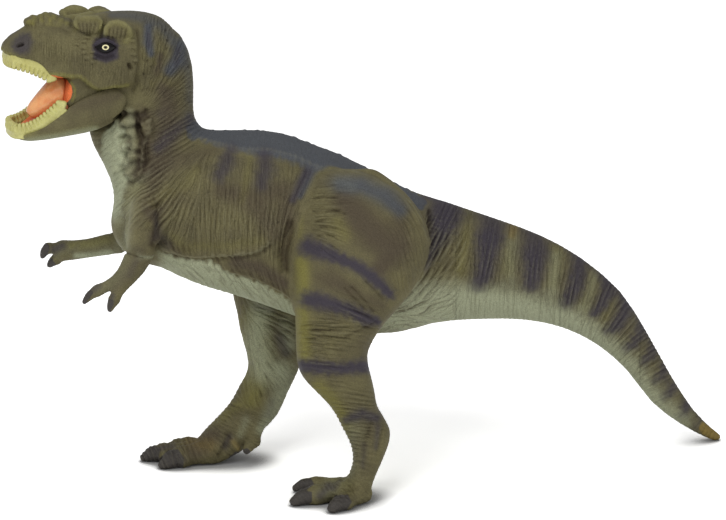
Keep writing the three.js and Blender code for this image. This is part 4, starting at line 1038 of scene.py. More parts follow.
jaw_strokes = {
    "yellow": [([(20, 140), (60, 135), (95, 128)], 5, 0.45)],
    "pale": [([(20, 143), (60, 137), (95, 130)], 5, 0.6)],
    "brown": [([(74, 108), (100, 100), (118, 96)], [9, 9, 7], 0.5)],
}
lower_lip = [
    (4, 127), (8, 131), (15, 134), (25, 133), (35, 129.5), (50, 120), (60, 112), (68, 104.5), (75, 99),
]
# The lip's edge has relief, yellow paint and a painted highlight.
lower_lip_edge = [("relief", 0, 1.6, 1.6, 0.5), ("yellow", 0, 1.8, 2.2, 0.5), ("ridge", 0, 2.0, 1.5, 0.4)]


def draw_jaw(c):
    """The lower jaw and its lip."""
    c.edge(lower_lip[:8], lower_lip_edge)
    # Painted shade just above the lip, below the teeth.
    c.line("valley", moved(lower_lip[2:], 0, -0.6), 1.6, 0.8)
    c.strokes(jaw_strokes)


# The six canvases: left, top, right and bottom, the cells in a pixel and the seed; how far the edges of
# strokes wander, and over what length; the ways of the folds; the spacing, reach and spread of the folds
# and of the fine folds; the strength of the folds before anything is drawn; and what is drawn on it.
sheets = {
    "body": (
        (100, 0, 730, 460, 2, 11), (0.7, 9), body_ways, (4.8, 28, 0.25), (2.8, 12, 0.5), 0.55,
        draw_body,
    ),
    "head": ((-12, -20, 212, 150, 6, 23), (0.4, 5), head_ways, (3.4, 16, 0.4), (2.0, 6, 0.5), 0.2, draw_head),
    "near": (
        (255, 150, 465, 525, 3, 37), (0.7, 9), near_leg_ways, (4.4, 20, 0.35), (2.6, 8, 0.5), 0.26,
        draw_near_leg,
    ),
    "far": (
        (130, 225, 345, 480, 3, 41), (0.7, 9), far_leg_ways, (4.6, 12, 0.35), (2.8, 8, 0.5), 0.62,
        draw_far_leg,
    ),
    "arm": ((28, 190, 200, 325, 4, 53), (0.5, 8), arm_ways, (4.0, 8, 0.35), (2.4, 6, 0.5), 0.24, draw_arms),
    "jaw": ((-12, 65, 140, 155, 6, 61), (0.4, 5), jaw_ways, (3.4, 7, 0.5), (1.9, 4, 0.6), 0.16, draw_jaw),
}


def drawn_canvas(area, wander, ways, folds, fine_folds, strength, draw):
    """A canvas with its folds and all that is drawn on it."""
    c = Canvas(*area)
    c.ragged(*wander)
    c.layers["folds"] = c.folds(ways, *folds)
    c.layers["fine"] = c.folds(ways, *fine_folds)
    c.place_folds(ways)
    c.layers["strength"] = c.layer("strength") + strength
    draw(c)
    return c


canvases = {name: drawn_canvas(*sheet) for name, sheet in sheets.items()}

skin_nodes = ["trunk", "head", "tail", "left_leg", "right_leg", "left_forearm", "right_forearm"]
TRUNK, HEAD, TAIL, LEFT_LEG, RIGHT_LEG, LEFT_ARM, RIGHT_ARM = range(7)
# Of these, valley holds painted shade with some wash in hollows, and ridge a painted highlight with some wear
# on raised skin.
paint_layers = ("yellow", "brown", "pale", "dark", "blue", "claw", "ochre", "valley", "ridge", "orange")

# Where the neck and the head are mirrored across the turned head, in mm: above a height, before a place.
neck_low, neck_high, neck_rear = 125, 165, -40

# Where a surface turns away from the picture, as the share of it that faces the camera.
facing_range = (0.12, 0.4)

# How far apart the finest folds lie on each canvas, in pixels.
fold_pitches = {"head": 2.3, "near": 4.0, "far": 4.0, "arm": 3.2, "jaw": 2.4}


def over_the_head(points):
    """The points, with those on the far side of the turned head mirrored to its near side."""
    beyond = (points - head_pivot) @ head_across
    return points - np.maximum(beyond, 0)[:, None] * 2 * head_across


def mirrored_places(points, middle):
    """Where each point is drawn: points beyond the figure's middle use the near side's drawing."""
    near = points.copy()
    centre = middle(points[:, 0])
    near[:, 1] = np.where(points[:, 1] > centre, 2 * centre - points[:, 1], points[:, 1])
    share = smooth_step(points[:, 2], neck_low, neck_high)[:, None]
    share = share * (points[:, 0] < neck_rear)[:, None]
    return project(near * (1 - share) + over_the_head(points) * share)


def middle_line(points):
    """The y of the figure's middle at each x, from the width of the mesh there."""
    edges = np.linspace(points[:, 0].min(), points[:, 0].max(), 60)
    number = np.digitize(points[:, 0], edges) - 1
    found = []
    for k in range(len(edges) - 1):
        here = points[number == k, 1]
        found.append((here.min() + here.max()) / 2 if len(here) else 0.0)
    found = np.array(found)
    for _ in range(4):
        found = np.convolve(np.pad(found, 1, mode="edge"), [0.25, 0.5, 0.25], "valid")
    centres = (edges[1:] + edges[:-1]) / 2
    return lambda x: np.interp(x, centres, found)


# Where the trunk's skin belongs to the upper arms: below a height and in front of a place, in mm.
upper_arm_high, upper_arm_rear = (118, 104), (-84, -92)

# How far down and back the head's canvas is used, in pixels, and how far down its skull.
head_canvas_low, head_canvas_rear, skull_low = (118, 100), 208, 140

# The dark bands round the outside of the far leg: how high each lies and their half width, in mm. The
# inside of the near leg is pale above its foot.
far_band_levels = (108, 90, 66, 44)
far_band_width = 3.4
near_foot_high = (28, 44)

# How high the folds and the fine folds stand, in mm, and the share that is left of them where the skin
# faces away from the picture.
fold_height, fine_fold_height = 0.3, 0.07
folds_seen_aside, creases_seen_aside = 0.35, 0.3


def drawn(points, normals, shares, middle):
    """The height in mm and the paint of each point, from the canvases that cover it."""
    mirrored = mirrored_places(points, middle)
    direct = project(points)
    leg_near = shares[:, LEFT_LEG]
    leg_far = shares[:, RIGHT_LEG]
    arms = shares[:, LEFT_ARM] + shares[:, RIGHT_ARM]
    upper_arm = smooth_step(points[:, 2], *upper_arm_high) * smooth_step(points[:, 0], *upper_arm_rear)
    arms = np.maximum(arms, upper_arm * shares[:, TRUNK])
    rest = 1 - np.clip(leg_near + leg_far + arms, 0, 1)
    in_head = smooth_step(mirrored[:, 1], *head_canvas_low) * (mirrored[:, 0] < head_canvas_rear)
    facing = smooth_step(np.abs(normals @ camera_back), *facing_range)
    in_skull = canvases["head"].sample("skull", mirrored) * (mirrored[:, 1] < skull_low)
    limbs = {"near": (leg_near, direct), "far": (leg_far, direct), "arm": (arms, direct)}

    def weights(head_share):
        head = {"head": (rest * head_share, mirrored), "body": (rest * (1 - head_share), mirrored)}
        return {**limbs, **head}

    height, paint = read_canvases(weights(in_head), weights(in_skull), facing)
    # What the picture doesn't show: the far leg is banded outside, and the near one is pale inside.
    outer = leg_far * smooth_step(normals[:, 1], -0.1, 0.4)
    above = [(points[:, 2] - level) / far_band_width for level in far_band_levels]
    bands = sum(np.exp(-(gap**2)) for gap in above)
    paint["pale"] *= 1 - outer
    paint["dark"] = np.maximum(paint["dark"], 0.9 * outer * np.clip(bands, 0, 1))
    inner = leg_near * smooth_step(normals[:, 1], 0.0, 0.5) * smooth_step(points[:, 2], *near_foot_high)
    paint["dark"] *= 1 - 0.8 * inner
    paint["pale"] = np.maximum(paint["pale"], 0.8 * inner)
    return height, paint


def read_canvases(weights, finest, facing):
    """The height and the paint. Each canvas has a weight at each point, for the finest folds a second."""
    first = next(iter(weights.values()))[0]
    height = np.zeros(len(first))
    paint = {name: np.zeros(len(first)) for name in paint_layers}
    best = np.zeros(len(first))
    paint["fold_place"] = np.zeros((len(first), 3))
    paint["way_x"] = np.ones(len(first))
    paint["way_y"] = np.zeros(len(first))
    for name, (weight, place) in finest.items():
        canvas = canvases[name]
        strength = np.clip(canvas.sample("strength", place), 0.05, 1.3)
        strength *= smooth_step(weight, 0.5, 0.75) * (creases_seen_aside + (1 - creases_seen_aside) * facing)
        pitch = body_pitch(place[:, 0]) if name == "body" else fold_pitches[name]
        layers = [place[:, 0] / pitch, place[:, 1] / pitch, strength]
        higher = weight > best
        paint["fold_place"][higher] = np.stack(layers, axis=1)[higher]
        paint["way_x"][higher] = canvas.sample("way_x", place)[higher]
        paint["way_y"][higher] = canvas.sample("way_y", place)[higher]
        best = np.maximum(best, weight)
    for name, (weight, place) in weights.items():
        canvas = canvases[name]
        fold = canvas.sample("folds", place)
        fine = canvas.sample("fine", place)
        strength = np.clip(canvas.sample("strength", place), 0.05, 1.3)
        folded = weight * strength * (folds_seen_aside + (1 - folds_seen_aside) * facing)
        height += folded * (fold_height * fold + fine_fold_height * fine)
        height += weight * canvas.sample("relief", place)
        for layer in paint_layers:
            paint[layer] += weight * canvas.sample(layer, place)
        # The hollows of the folds get painted shade and their crests a painted highlight.
        paint["valley"] += folded * np.clip(-fold * 0.55 - fine * 0.15, 0, 1)
        paint["ridge"] += folded * np.clip(fold * 0.5 + fine * 0.2, 0, 1)
    for layer in paint_layers:
        paint[layer] = np.clip(paint[layer], 0, 1)
    return height, paint


def boundary_loops(faces):
    """The closed loops of points round the open edges, each in the faces' own direction."""
    count = int(faces.max()) + 1
    pairs = np.concatenate([faces[:, [k, (k + 1) % 4]] for k in range(4)])
    keys = pairs[:, 0] * count + pairs[:, 1]
    back = pairs[:, 1] * count + pairs[:, 0]
    open_pairs = pairs[~np.isin(keys, back)]
    after = {}
    for a, b in open_pairs:
        after.setdefault(int(a), []).append(int(b))
    loops = []
    while after:
        start = next(iter(after))
        loop = [start]
        while True:
            ends = after[loop[-1]]
            step = ends.pop()
            if not ends:
                del after[loop[-1]]
            if step == start:
                break
            loop.append(step)
        loops.append(loop)
    return loops


def mesh_object(name, points, faces, normals=None, paint=None, caps=()):
    """A Blender object from points in mm. Caps are loops that are closed by a fan to a sunk middle."""
    points = np.asarray(points, float)
    extra_points, extra_faces = [], []
    for loop, middle in caps:
        tip = len(points) + len(extra_points)
        extra_points.append(middle)
        extra_faces += [(loop[(k + 1) % len(loop)], loop[k], tip) for k in range(len(loop))]
    if extra_points:
        points = np.concatenate([points, np.array(extra_points)])
    mesh = bpy.data.meshes.new(name)
    mesh.vertices.add(len(points))
    mesh.vertices.foreach_set("co", (points * MM).astype(np.float32).ravel())
    corners = np.concatenate([np.asarray(faces, np.int32).ravel(), np.array(extra_faces, np.int32).ravel()])
    width = faces.shape[1]
    sizes = [width] * len(faces) + [3] * len(extra_faces)
    mesh.loops.add(len(corners))
    mesh.loops.foreach_set("vertex_index", corners.astype(np.int32))
    mesh.polygons.add(len(sizes))
    starts = np.concatenate([[0], np.cumsum(sizes)[:-1]]).astype(np.int32)
    mesh.polygons.foreach_set("loop_start", starts)
    mesh.polygons.foreach_set("use_smooth", np.ones(len(sizes), bool))
    mesh.update(calc_edges=True)
    mesh.validate()
    if paint:
        for attribute, values in paint.items():
            full = np.zeros((len(points), 3), np.float32)
            full[: len(values)] = values
            made = mesh.attributes.new(attribute, "FLOAT_VECTOR", "POINT")
            made.data.foreach_set("vector", full.ravel())
    if normals is not None:
        full = np.zeros((len(points), 3), np.float32)
        full[: len(normals)] = normals
        full[len(normals) :] = (0, 0, 1)
        mesh.normals_split_custom_set_from_vertices(full)
    made = bpy.data.objects.new(name, mesh)
    bpy.context.scene.collection.objects.link(made)
    return made


def paint_attributes(paint):
    """The paint as attributes of three layers each, which the material reads."""
    return {
        "paint_warm": np.stack([paint["yellow"], paint["brown"], paint["pale"]], axis=1),
        "paint_cool": np.stack([paint["dark"], paint["blue"], paint["claw"]], axis=1),
        # The third attribute holds painted shade in hollows and a painted highlight on ridges, both partly
        # wash and wear, and the ochre paint.
        "paint_shade_and_wear": np.stack([paint["valley"], paint["ridge"], paint["ochre"]], axis=1),
        "fold_place": paint["fold_place"],
        "fold_way": np.stack([paint["way_x"], paint["way_y"], paint["orange"]], axis=1),
    }


# How often the pieces' shares and their shapes are smoothed, and how deep a cap closes a piece, in mm.
share_rounds, skin_rounds, piece_rounds = 24, 60, 40
cap_depth = 1.5

# How wide each moulding is smoothed, in mm: up the head and the legs by the height, along the tail by x.
trunk_smoothing, upper_arm_smoothing, forearm_smoothing, jaw_smoothing = 4.0, 1.6, 0.7, 0.9
head_smoothing = [(118, 3.6), (135, 3.0), (160, 1.1)]
tail_smoothing = [(0, 4.0), (40, 3.4), (90, 2.2), (125, 1.3), (140, 0.7), (146, 0.3)]
leg_smoothing = [(0, 0.5), (14, 0.7), (30, 1.6), (60, 2.2), (90, 3.6)]
upper_arm_top, upper_arm_back = 118, -78
# Where the lip is pulled down, over how many pixels each way, and how far in mm.
lip_pulled = np.array([55.0, 67.0])
lip_reach = np.array([12.0, 9.0])
lip_pull = 2.9


def smoothing_widths(points, shares):
    """How wide the shape is blurred at each point, in mm: wide on the trunk, narrow on the small parts."""
    x, z = points[:, 0], points[:, 2]
    in_arm = (z < upper_arm_top) & (x < upper_arm_back)
    trunk = np.where(in_arm, upper_arm_smoothing, trunk_smoothing)
    head = np.interp(z, *zip(*head_smoothing))
    tail = np.interp(x, *zip(*tail_smoothing))
    leg = np.interp(z, *zip(*leg_smoothing))
    arm = np.full(len(x), forearm_smoothing)
    table = np.stack([trunk, head, tail, leg, leg, arm, arm], axis=1)
    return (table * shares).sum(axis=1)


def one_body(field, passes):
    """The field's surface after some passes of softening, without loose bits, and the net of its points."""
    field.soften(passes)
    points, faces = field.surface()
    points, faces = largest_body(points, faces, Net(len(points), faces))
    return points, faces, Net(len(points), faces)


def skin_pieces():
    """One closed skin over all the mouldings but the jaw, split again by moulding."""
    field = Field(skin_nodes + ["left_eye", "right_eye"], skin_cell)
    points, faces, net = one_body(field, 3)
    owner = field.owners(points)
    owner = np.where(owner >= len(skin_nodes), HEAD, owner)
    shares = np.eye(len(skin_nodes), dtype=np.float32)[owner]
    shares = net.average(shares, share_rounds)
    points = net.relax(points, smoothing_widths(points, shares), skin_cell, skin_rounds)
    middle = middle_line(points[(shares[:, TRUNK] + shares[:, TAIL]) > 0.5])
    # The lip hangs lower behind the upper teeth.
    away = (mirrored_places(points, middle) - lip_pulled) / lip_reach
    points[:, 2] -= lip_pull * np.exp(-(away**2).sum(axis=1)) * shares[:, HEAD]
    normals = normals_of(points, faces)
    height, paint = drawn(points, normals, shares, middle)
    shaped = points + normals * height[:, None]
    shaped[:, 2] = np.maximum(shaped[:, 2], 0.0)
    shaped_normals = normals_of(shaped, faces)
    attributes = paint_attributes(paint)
    owner = shares.argmax(axis=1)
    face_owner = owner[faces[:, 0]]
    made = []
    for number, name in enumerate(skin_nodes):
        own = faces[face_owner == number]
        used, flat = np.unique(own, return_inverse=True)
        own = flat.reshape(-1, 4)
        own_points = shaped[used]
        centre = own_points.mean(axis=0)
        caps = []
        for loop in boundary_loops(own):
            rim = own_points[loop].mean(axis=0)
            inward = (centre - rim) / max(np.linalg.norm(centre - rim), 1e-6)
            caps.append((loop, rim + inward * min(cap_depth, 0.1 * len(loop))))
        paint_here = {key: values[used] for key, values in attributes.items()}
        piece = mesh_object(name + "_skin", own_points, own, shaped_normals[used], paint_here, caps)
        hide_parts(name)
        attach(piece, "figure")
        made.append(piece)
    return made, points, faces


def jaw_piece():
    """The skin of the lower jaw, which rides on the jaw's own body."""
    points, faces, net = one_body(Field(["lower_jaw"], jaw_cell), 3)
    points = net.relax(points, np.full(len(points), jaw_smoothing), jaw_cell, piece_rounds)
    normals = normals_of(points, faces)
    place = project(over_the_head(points))
    facing = smooth_step(np.abs(normals @ camera_back), *facing_range)
    whole = {"jaw": (np.ones(len(points)), place)}
    height, paint = read_canvases(whole, whole, facing)
    shaped = points + normals * height[:, None]
    piece = mesh_object("lower_jaw_skin", shaped, faces, None, paint_attributes(paint))
    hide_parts("lower_jaw")
    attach(piece, "jaw")
    return piece


# How wide and how deep a hollow of a small painted piece is, and the most that its ribs are deepened, in mm.
hollow_width = 1.2
hollow_depth = 0.2
most_ribbed = 0.4


def rounded_piece(name, body, cell, width, grow, ribbed):
    """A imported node, its facets smoothed away and grown by mm. Its hollows are noted for the paint."""
    field = Field([name], cell)
    field.values -= grow
    points, faces, net = one_body(field, 1 if ribbed else 2)
    points = net.relax(points, np.full(len(points), width), cell, piece_rounds)
    even = net.relax(points, np.full(len(points), hollow_width), cell, piece_rounds)
    normals = normals_of(points, faces)
    deep = ((even - points) * normals).sum(axis=1)
    hollow = np.clip(deep / hollow_depth, -1, 1)
    points = points - normals * (ribbed * np.clip(deep, -most_ribbed, most_ribbed))[:, None]
    noted = {"hollow": np.stack([np.maximum(hollow, 0), np.maximum(-hollow, 0), hollow * 0], axis=1)}
    piece = mesh_object(name + "_smooth", points, faces, None, noted)
    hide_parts(name)
    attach(piece, body)
    return piece


# The lens of the eye: its rings and spokes, and in mm how far it bulges, lies sunk and reaches inwards.
lens_rings = 14
lens_spokes = 48
lens_bulge = 0.4
lens_sunk = 0.5
lens_depth = 2.0


def eye_piece(name, tree, mirrored):
    """An almond lens set into the skin where the eye is drawn."""

    def struck(pixel):
        x = (pixel[0] - picture_width / 2) / pixels_at_target
        y = (picture_height / 2 - pixel[1]) / pixels_at_target
        seen = camera_target + camera_right * x + camera_up * y
        start = camera_target + camera_back * camera_distance
        way = seen - start
        way = way / np.linalg.norm(way)
        return np.array(tree.ray_cast(Vector(start), Vector(way))[0]), way

    outline = []
    for turn in np.linspace(0, 2 * math.pi, lens_spokes, endpoint=False):
        half = eye_half_width * math.cos(turn)
        high = eye_under if math.sin(turn) > 0 else eye_over
        outline.append((half, high * math.copysign(math.sin(turn) ** 2, math.sin(turn))))
    middle, way = struck(eye_middle)
    rim = np.array([struck((eye_middle[0] + x, eye_middle[1] + y))[0] for x, y in outline])
    flat = rim - rim.mean(axis=0)
    normal = np.linalg.svd(flat)[2][2]
    normal = normal * np.sign(-(normal @ way))
    level = ((rim - middle) @ normal)[:, None] * normal
    rim = rim - level * 0.5
    centre = rim.mean(axis=0)
    points, places = [], []
    for ring in range(1, lens_rings + 1):
        share = ring / lens_rings
        high = lens_bulge * (1 - share**2) - lens_sunk
        points.append(centre + (rim - centre) * share + normal * high)
        places.append(np.array(outline) * share)
    points.append(rim - normal * lens_depth)
    places.append(np.array(outline))
    points = np.concatenate(points)
    places = np.concatenate(places)
    faces = []
    for ring in range(lens_rings):
        for k in range(lens_spokes):
            a, b = ring * lens_spokes + k, ring * lens_spokes + (k + 1) % lens_spokes
            faces.append((a, b, b + lens_spokes, a + lens_spokes))
    faces = np.array(faces)
    first = list(range(lens_spokes))
    last = [lens_rings * lens_spokes + k for k in first]
    tips = [centre + normal * (lens_bulge - lens_sunk), centre - normal * lens_depth]
    caps = [(first[::-1], tips[0]), (last, tips[1])]
    shape = mesh_object(
        name + "_lens",
        points,
        faces,
        None,
        {"lens_place": np.concatenate([places, np.zeros((len(places), 1))], axis=1)},
        caps,
    )
    if mirrored:
        flat = np.empty(len(shape.data.vertices) * 3, np.float32)
        shape.data.vertices.foreach_get("co", flat)
        flat = flat.reshape(-1, 3)
        pivot = head_pivot * MM
        flat -= ((flat - pivot) @ head_across)[:, None] * 2 * head_across.astype(np.float32)
        shape.data.vertices.foreach_set("co", flat.ravel())
        shape.data.flip_normals()
    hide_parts(name)
    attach(shape, "figure")
    return shape


def linear(*srgb):
    """A colour as it is seen, from 0 to 255, in the numbers that shaders use."""
    share = [value / 255 for value in srgb]
    return tuple(v / 12.92 if v <= 0.04045 else ((v + 0.055) / 1.055) ** 2.4 for v in share) + (1.0,)


class Tree:
    """A material's nodes, made by short calls."""

    def __init__(self, name):
        self.material = bpy.data.materials.new(name)
        self.material.use_nodes = True
        self.nodes = self.material.node_tree.nodes
        self.links = self.material.node_tree.links
        self.shader = self.nodes["Principled BSDF"]
        self.place = self.node("ShaderNodeTexCoord").outputs["Object"]

    def node(self, kind, **inputs):
        made = self.nodes.new(kind)
        for key, value in inputs.items():
            self.put(made.inputs[key.replace("_", " ")], value)
        return made

    def put(self, socket, value):
        if isinstance(value, bpy.types.NodeSocket):
            self.links.new(value, socket)
        else:
            socket.default_value = value

    def math(self, kind, a, b=0.0, clamp=False):
        made = self.nodes.new("ShaderNodeMath")
        made.operation = kind
        made.use_clamp = clamp
        self.put(made.inputs[0], a)
        self.put(made.inputs[1], b)
        return made.outputs[0]

    def mix(self, factor, a, b, kind="MIX"):
        made = self.nodes.new("ShaderNodeMix")
        made.data_type = "RGBA"
        made.blend_type = kind
        self.put(made.inputs["Factor"], factor)
        self.put(made.inputs[6], a)
        self.put(made.inputs[7], b)
        return made.outputs[2]

    def vector(self, kind, a, b=(0.0, 0.0, 0.0), scale=1.0):
        made = self.nodes.new("ShaderNodeVectorMath")
        made.operation = kind
        self.put(made.inputs[0], a)
        self.put(made.inputs[1], b)
        if kind == "SCALE":
            made.inputs["Scale"].default_value = scale
        return made.outputs[0]

    def noise(self, size, detail=3.0, rough=0.55):
        """Noise with lumps of about the given size in mm."""
        made = self.node("ShaderNodeTexNoise", Vector=self.place, Scale=1 / (size * MM))
        made.inputs["Detail"].default_value = detail
        made.inputs["Roughness"].default_value = rough
        return made.outputs["Fac"]

    def cells(self, size):
        made = self.node("ShaderNodeTexVoronoi", Vector=self.place, Scale=1 / (size * MM))
        return made.outputs["Distance"]

    def layers(self, name):
        """The three layers that an attribute holds."""
        attribute = self.nodes.new("ShaderNodeAttribute")
        attribute.attribute_name = name
        parts = self.node("ShaderNodeSeparateXYZ", Vector=attribute.outputs["Vector"])
        return parts.outputs[0], parts.outputs[1], parts.outputs[2]

    def range(self, value, low, high, to_low=0.0, to_high=1.0, smooth=True):
        made = self.nodes.new("ShaderNodeMapRange")
        made.interpolation_type = "SMOOTHSTEP" if smooth else "LINEAR"
        self.put(made.inputs["Value"], value)
        made.inputs["From Min"].default_value = low
        made.inputs["From Max"].default_value = high
        made.inputs["To Min"].default_value = to_low
        made.inputs["To Max"].default_value = to_high
        return made.outputs["Result"]

    def grey(self, value):
        return self.node("ShaderNodeCombineColor", Red=value, Green=value, Blue=value).outputs["Color"]

    def tint(self, factor, colour, tone):
        """The colour multiplied by a tone, as far as the factor says."""
        return self.mix(factor, colour, tone, "MULTIPLY")

    def surface(self, colour, rough, specular=None):
        self.put(self.shader.inputs["Base Color"], colour)
        self.put(self.shader.inputs["Roughness"], rough)
        if specular is not None:
            self.shader.inputs["Specular IOR Level"].default_value = specular

    def bump(self, height, strength, distance):
        made = self.node("ShaderNodeBump", Height=height)
        made.inputs["Strength"].default_value = strength
        made.inputs["Distance"].default_value = distance * MM
        self.put(self.shader.inputs["Normal"], made.outputs["Normal"])


# The finest creases run at one of so many angles, and are so many times longer than wide.
fold_angles = 8
crease_length = 12.0

# The colours of the vinyl and of its paints; the wash and painted shade that its hollows and creases turn to,
# and the wear and painted highlight on its ridges.
vinyl_green, vinyl_olive = linear(106, 100, 69), linear(92, 86, 61)
brown_paint, yellow_paint, blue_paint = linear(78, 69, 54), linear(121, 116, 62), linear(76, 79, 84)
pale_paint, dark_paint, orange_paint = linear(162, 166, 137), linear(61, 56, 64), linear(226, 116, 66)
claw_paint, ochre_paint = linear(66, 62, 58), linear(124, 106, 56)
hollow_wash_and_shade, crease_wash_and_shade, ridge_wear_and_highlight = linear(152, 138, 132), linear(140, 126, 120), linear(178, 174, 140)


def skin_material():
    """Olive vinyl with sprayed bands, a pale belly, hollows and creases darkened by a wash and painted shade,
    ridges lightened by wear and a painted highlight, and fine creases.
    """
    t = Tree("painted_vinyl")
    yellow, brown, pale = t.layers("paint_warm")
    dark, blue, claw = t.layers("paint_cool")
    valley, ridge, ochre = t.layers("paint_shade_and_wear")
    place_x, place_y, strength = t.layers("fold_place")
    way_x, way_y, orange = t.layers("fold_way")
    broad = t.noise(9.0)
    patchy = t.noise(3.2)
    speck = t.noise(0.4, 2.0)
    drawn_at = t.node("ShaderNodeCombineXYZ", X=place_x, Y=place_y).outputs[0]
    wander = t.node("ShaderNodeTexNoise", Vector=drawn_at, Scale=0.3).outputs["Color"]
    wander = t.vector("SCALE", t.vector("SUBTRACT", wander, (0.5, 0.5, 0.5)), scale=0.9)
    drawn_at = t.vector("ADD", drawn_at, wander)

    def creases(size, thin, shift):
        """Thin lines that run along the folds, 1 in their middle. Each set of lines has one angle."""
        total, power = 0.0, 0.0
        for k in range(fold_angles):
            angle = math.pi * k / fold_angles
            like = t.math("MULTIPLY", way_x, math.cos(2 * angle))
            like = t.math("ADD", like, t.math("MULTIPLY", way_y, math.sin(2 * angle)))
            weight = t.range(like, math.cos(2 * math.pi / fold_angles), 1.0, smooth=False)
            turned = t.node("ShaderNodeMapping", Vector=drawn_at)
            turned.vector_type = "TEXTURE"
            turned.inputs["Location"].default_value = (shift + 11.7 * k, shift, 0)
            turned.inputs["Rotation"].default_value = (0, 0, angle)
            turned.inputs["Scale"].default_value = (size * crease_length, size, 1)
            made = t.node("ShaderNodeTexNoise", Vector=turned.outputs[0], Scale=1.0)
            made.noise_dimensions = "2D"
            made.inputs["Detail"].default_value = 0.5
            uneven = t.math("MULTIPLY", weight, t.math("SUBTRACT", made.outputs["Fac"], 0.5))
            total = t.math("ADD", total, uneven)
            power = t.math("ADD", power, t.math("MULTIPLY", weight, weight))
        away = t.math("ABSOLUTE", t.math("DIVIDE", total, t.math("SQRT", t.math("MAXIMUM", power, 0.01))))
        return t.range(away, 0.0, thin, 1.0, 0.0)

    def sprayed(mask, spread=0.12):
        """A paint layer whose edge breaks up a little, as sprayed paint does."""
        moved = t.math("ADD", mask, t.math("MULTIPLY", t.math("SUBTRACT", patchy, 0.5), spread))
        grained = t.math("ADD", moved, t.math("MULTIPLY", t.math("SUBTRACT", speck, 0.5), 0.12))
        return t.math("MULTIPLY", t.range(grained, 0.0, 1.0), t.range(mask, 0.0, 0.12))

    wide = creases(1.1, 0.06, 0.0)
    fine = creases(0.5, 0.06, 7.3)
    crease = t.math("MAXIMUM", wide, t.math("MULTIPLY", fine, 0.4))
    crease = t.math("MULTIPLY", crease, t.range(strength, 0.05, 0.9))

    colour = t.mix(t.range(broad, 0.3, 0.7), vinyl_green, vinyl_olive)
    sprays = [
        (brown, brown_paint), (yellow, yellow_paint), (blue, blue_paint), (pale, pale_paint),
        (dark, dark_paint),
    ]
    for mask, paint in sprays:
        colour = t.mix(sprayed(mask), colour, paint)
    colour = t.mix(t.range(orange, 0.3, 0.7), colour, orange_paint)
    colour = t.mix(t.range(claw, 0.2, 0.7), colour, claw_paint)
    colour = t.mix(sprayed(ochre), colour, ochre_paint)
    colour = t.tint(1.0, colour, t.grey(t.range(speck, 0.3, 0.7, 0.76, 1.2, False)))
    # Painted shade with a wash in the hollows, then painted shade in the fine creases.
    colour = t.tint(t.range(valley, 0.05, 0.95, 0.0, 0.8), colour, hollow_wash_and_shade)
    colour = t.tint(t.math("MULTIPLY", crease, 0.34), colour, crease_wash_and_shade)
    # A painted highlight with wear on the ridges.
    rubbed_and_lit = t.mix(0.5, colour, ridge_wear_and_highlight)
    colour = t.mix(t.range(ridge, 0.1, 1.0, 0.0, 0.4), colour, rubbed_and_lit)
    rough = t.range(patchy, 0.3, 0.7, 0.64, 0.74, False)
    t.surface(colour, t.math("SUBTRACT", rough, t.math("MULTIPLY", claw, 0.2)), 0.2)
    pores = t.math("MULTIPLY", t.math("ADD", speck, t.math("MULTIPLY", t.cells(0.8), 0.6)), 0.05)
    t.bump(t.math("SUBTRACT", pores, t.math("MULTIPLY", crease, 0.16)), 1.0, 1.0)
    return t.material


# The painted ring of the eye: its half width and half height, in pixels, and the tones of the eye.
ring_half_width, ring_half_height = 3.0, 2.35
eye_black, eye_shade, iris_tone = linear(22, 20, 20), linear(16, 14, 15), linear(112, 106, 78)
ring_tone, pupil_tone = linear(242, 234, 184), linear(22, 18, 16)


def eye_material():
    """Black gloss with a pale ring round a dark pupil."""
    t = Tree("eye_gloss")
    u, v, unused = t.layers("lens_place")
    u = t.math("DIVIDE", u, ring_half_width)
    v = t.math("DIVIDE", v, ring_half_height)
    away = t.math("SQRT", t.math("ADD", t.math("MULTIPLY", u, u), t.math("MULTIPLY", v, v)))
    uneven = t.math("ADD", away, t.math("MULTIPLY", t.math("SUBTRACT", t.noise(0.6), 0.5), 0.1))
    ring = t.range(t.math("ABSOLUTE", t.math("SUBTRACT", uneven, 0.92)), 0.16, 0.27, 1.0, 0.0)
    iris = t.range(uneven, 0.6, 0.8, 1.0, 0.0)
    pupil = t.range(uneven, 0.36, 0.52, 1.0, 0.0)
    colour = t.mix(t.range(t.noise(0.8), 0.3, 0.7), eye_black, eye_shade)
    for mask, tone in ((iris, iris_tone), (ring, ring_tone), (pupil, pupil_tone)):
        colour = t.mix(mask, colour, tone)
    t.surface(colour, 0.3, 0.12)
    t.bump(t.noise(1.4), 1.0, 0.04)
    return t.material


# What the hollows of the glossy pieces turn to, a wash and painted shade, and their raised parts, wear and a
# painted highlight.
gloss_wash_and_shade, gloss_wear_and_highlight = linear(180, 160, 120), linear(226, 220, 164)


def glossy_material(name, light, dark_tone, rough):
    """Uneven gloss paint, with a wash and painted shade in the hollows, and wear and a painted highlight on
    what stands out.
    """
    t = Tree(name)
    colour = t.mix(t.range(t.noise(3.0), 0.3, 0.7), light, dark_tone)
    colour = t.tint(1.0, colour, t.grey(t.range(t.noise(0.5), 0.3, 0.7, 0.92, 1.06, False)))
    hollow, raised, unused = t.layers("hollow")
    # Painted shade with a wash in the hollows, and a painted highlight with wear on the raised parts.
    colour = t.tint(t.math("MULTIPLY", hollow, 0.9), colour, gloss_wash_and_shade)
    rubbed_and_lit = t.mix(0.4, colour, gloss_wear_and_highlight)
    colour = t.mix(t.math("MULTIPLY", raised, 0.5), colour, rubbed_and_lit)
    t.surface(colour, t.range(t.noise(1.6), 0.3, 0.7, rough, rough + 0.12, False))
    t.bump(t.noise(1.1), 0.3, 0.12)
    return t.material


def dress(item, material):
    mesh = item.data
    mesh.materials.clear()
    mesh.materials.append(material)


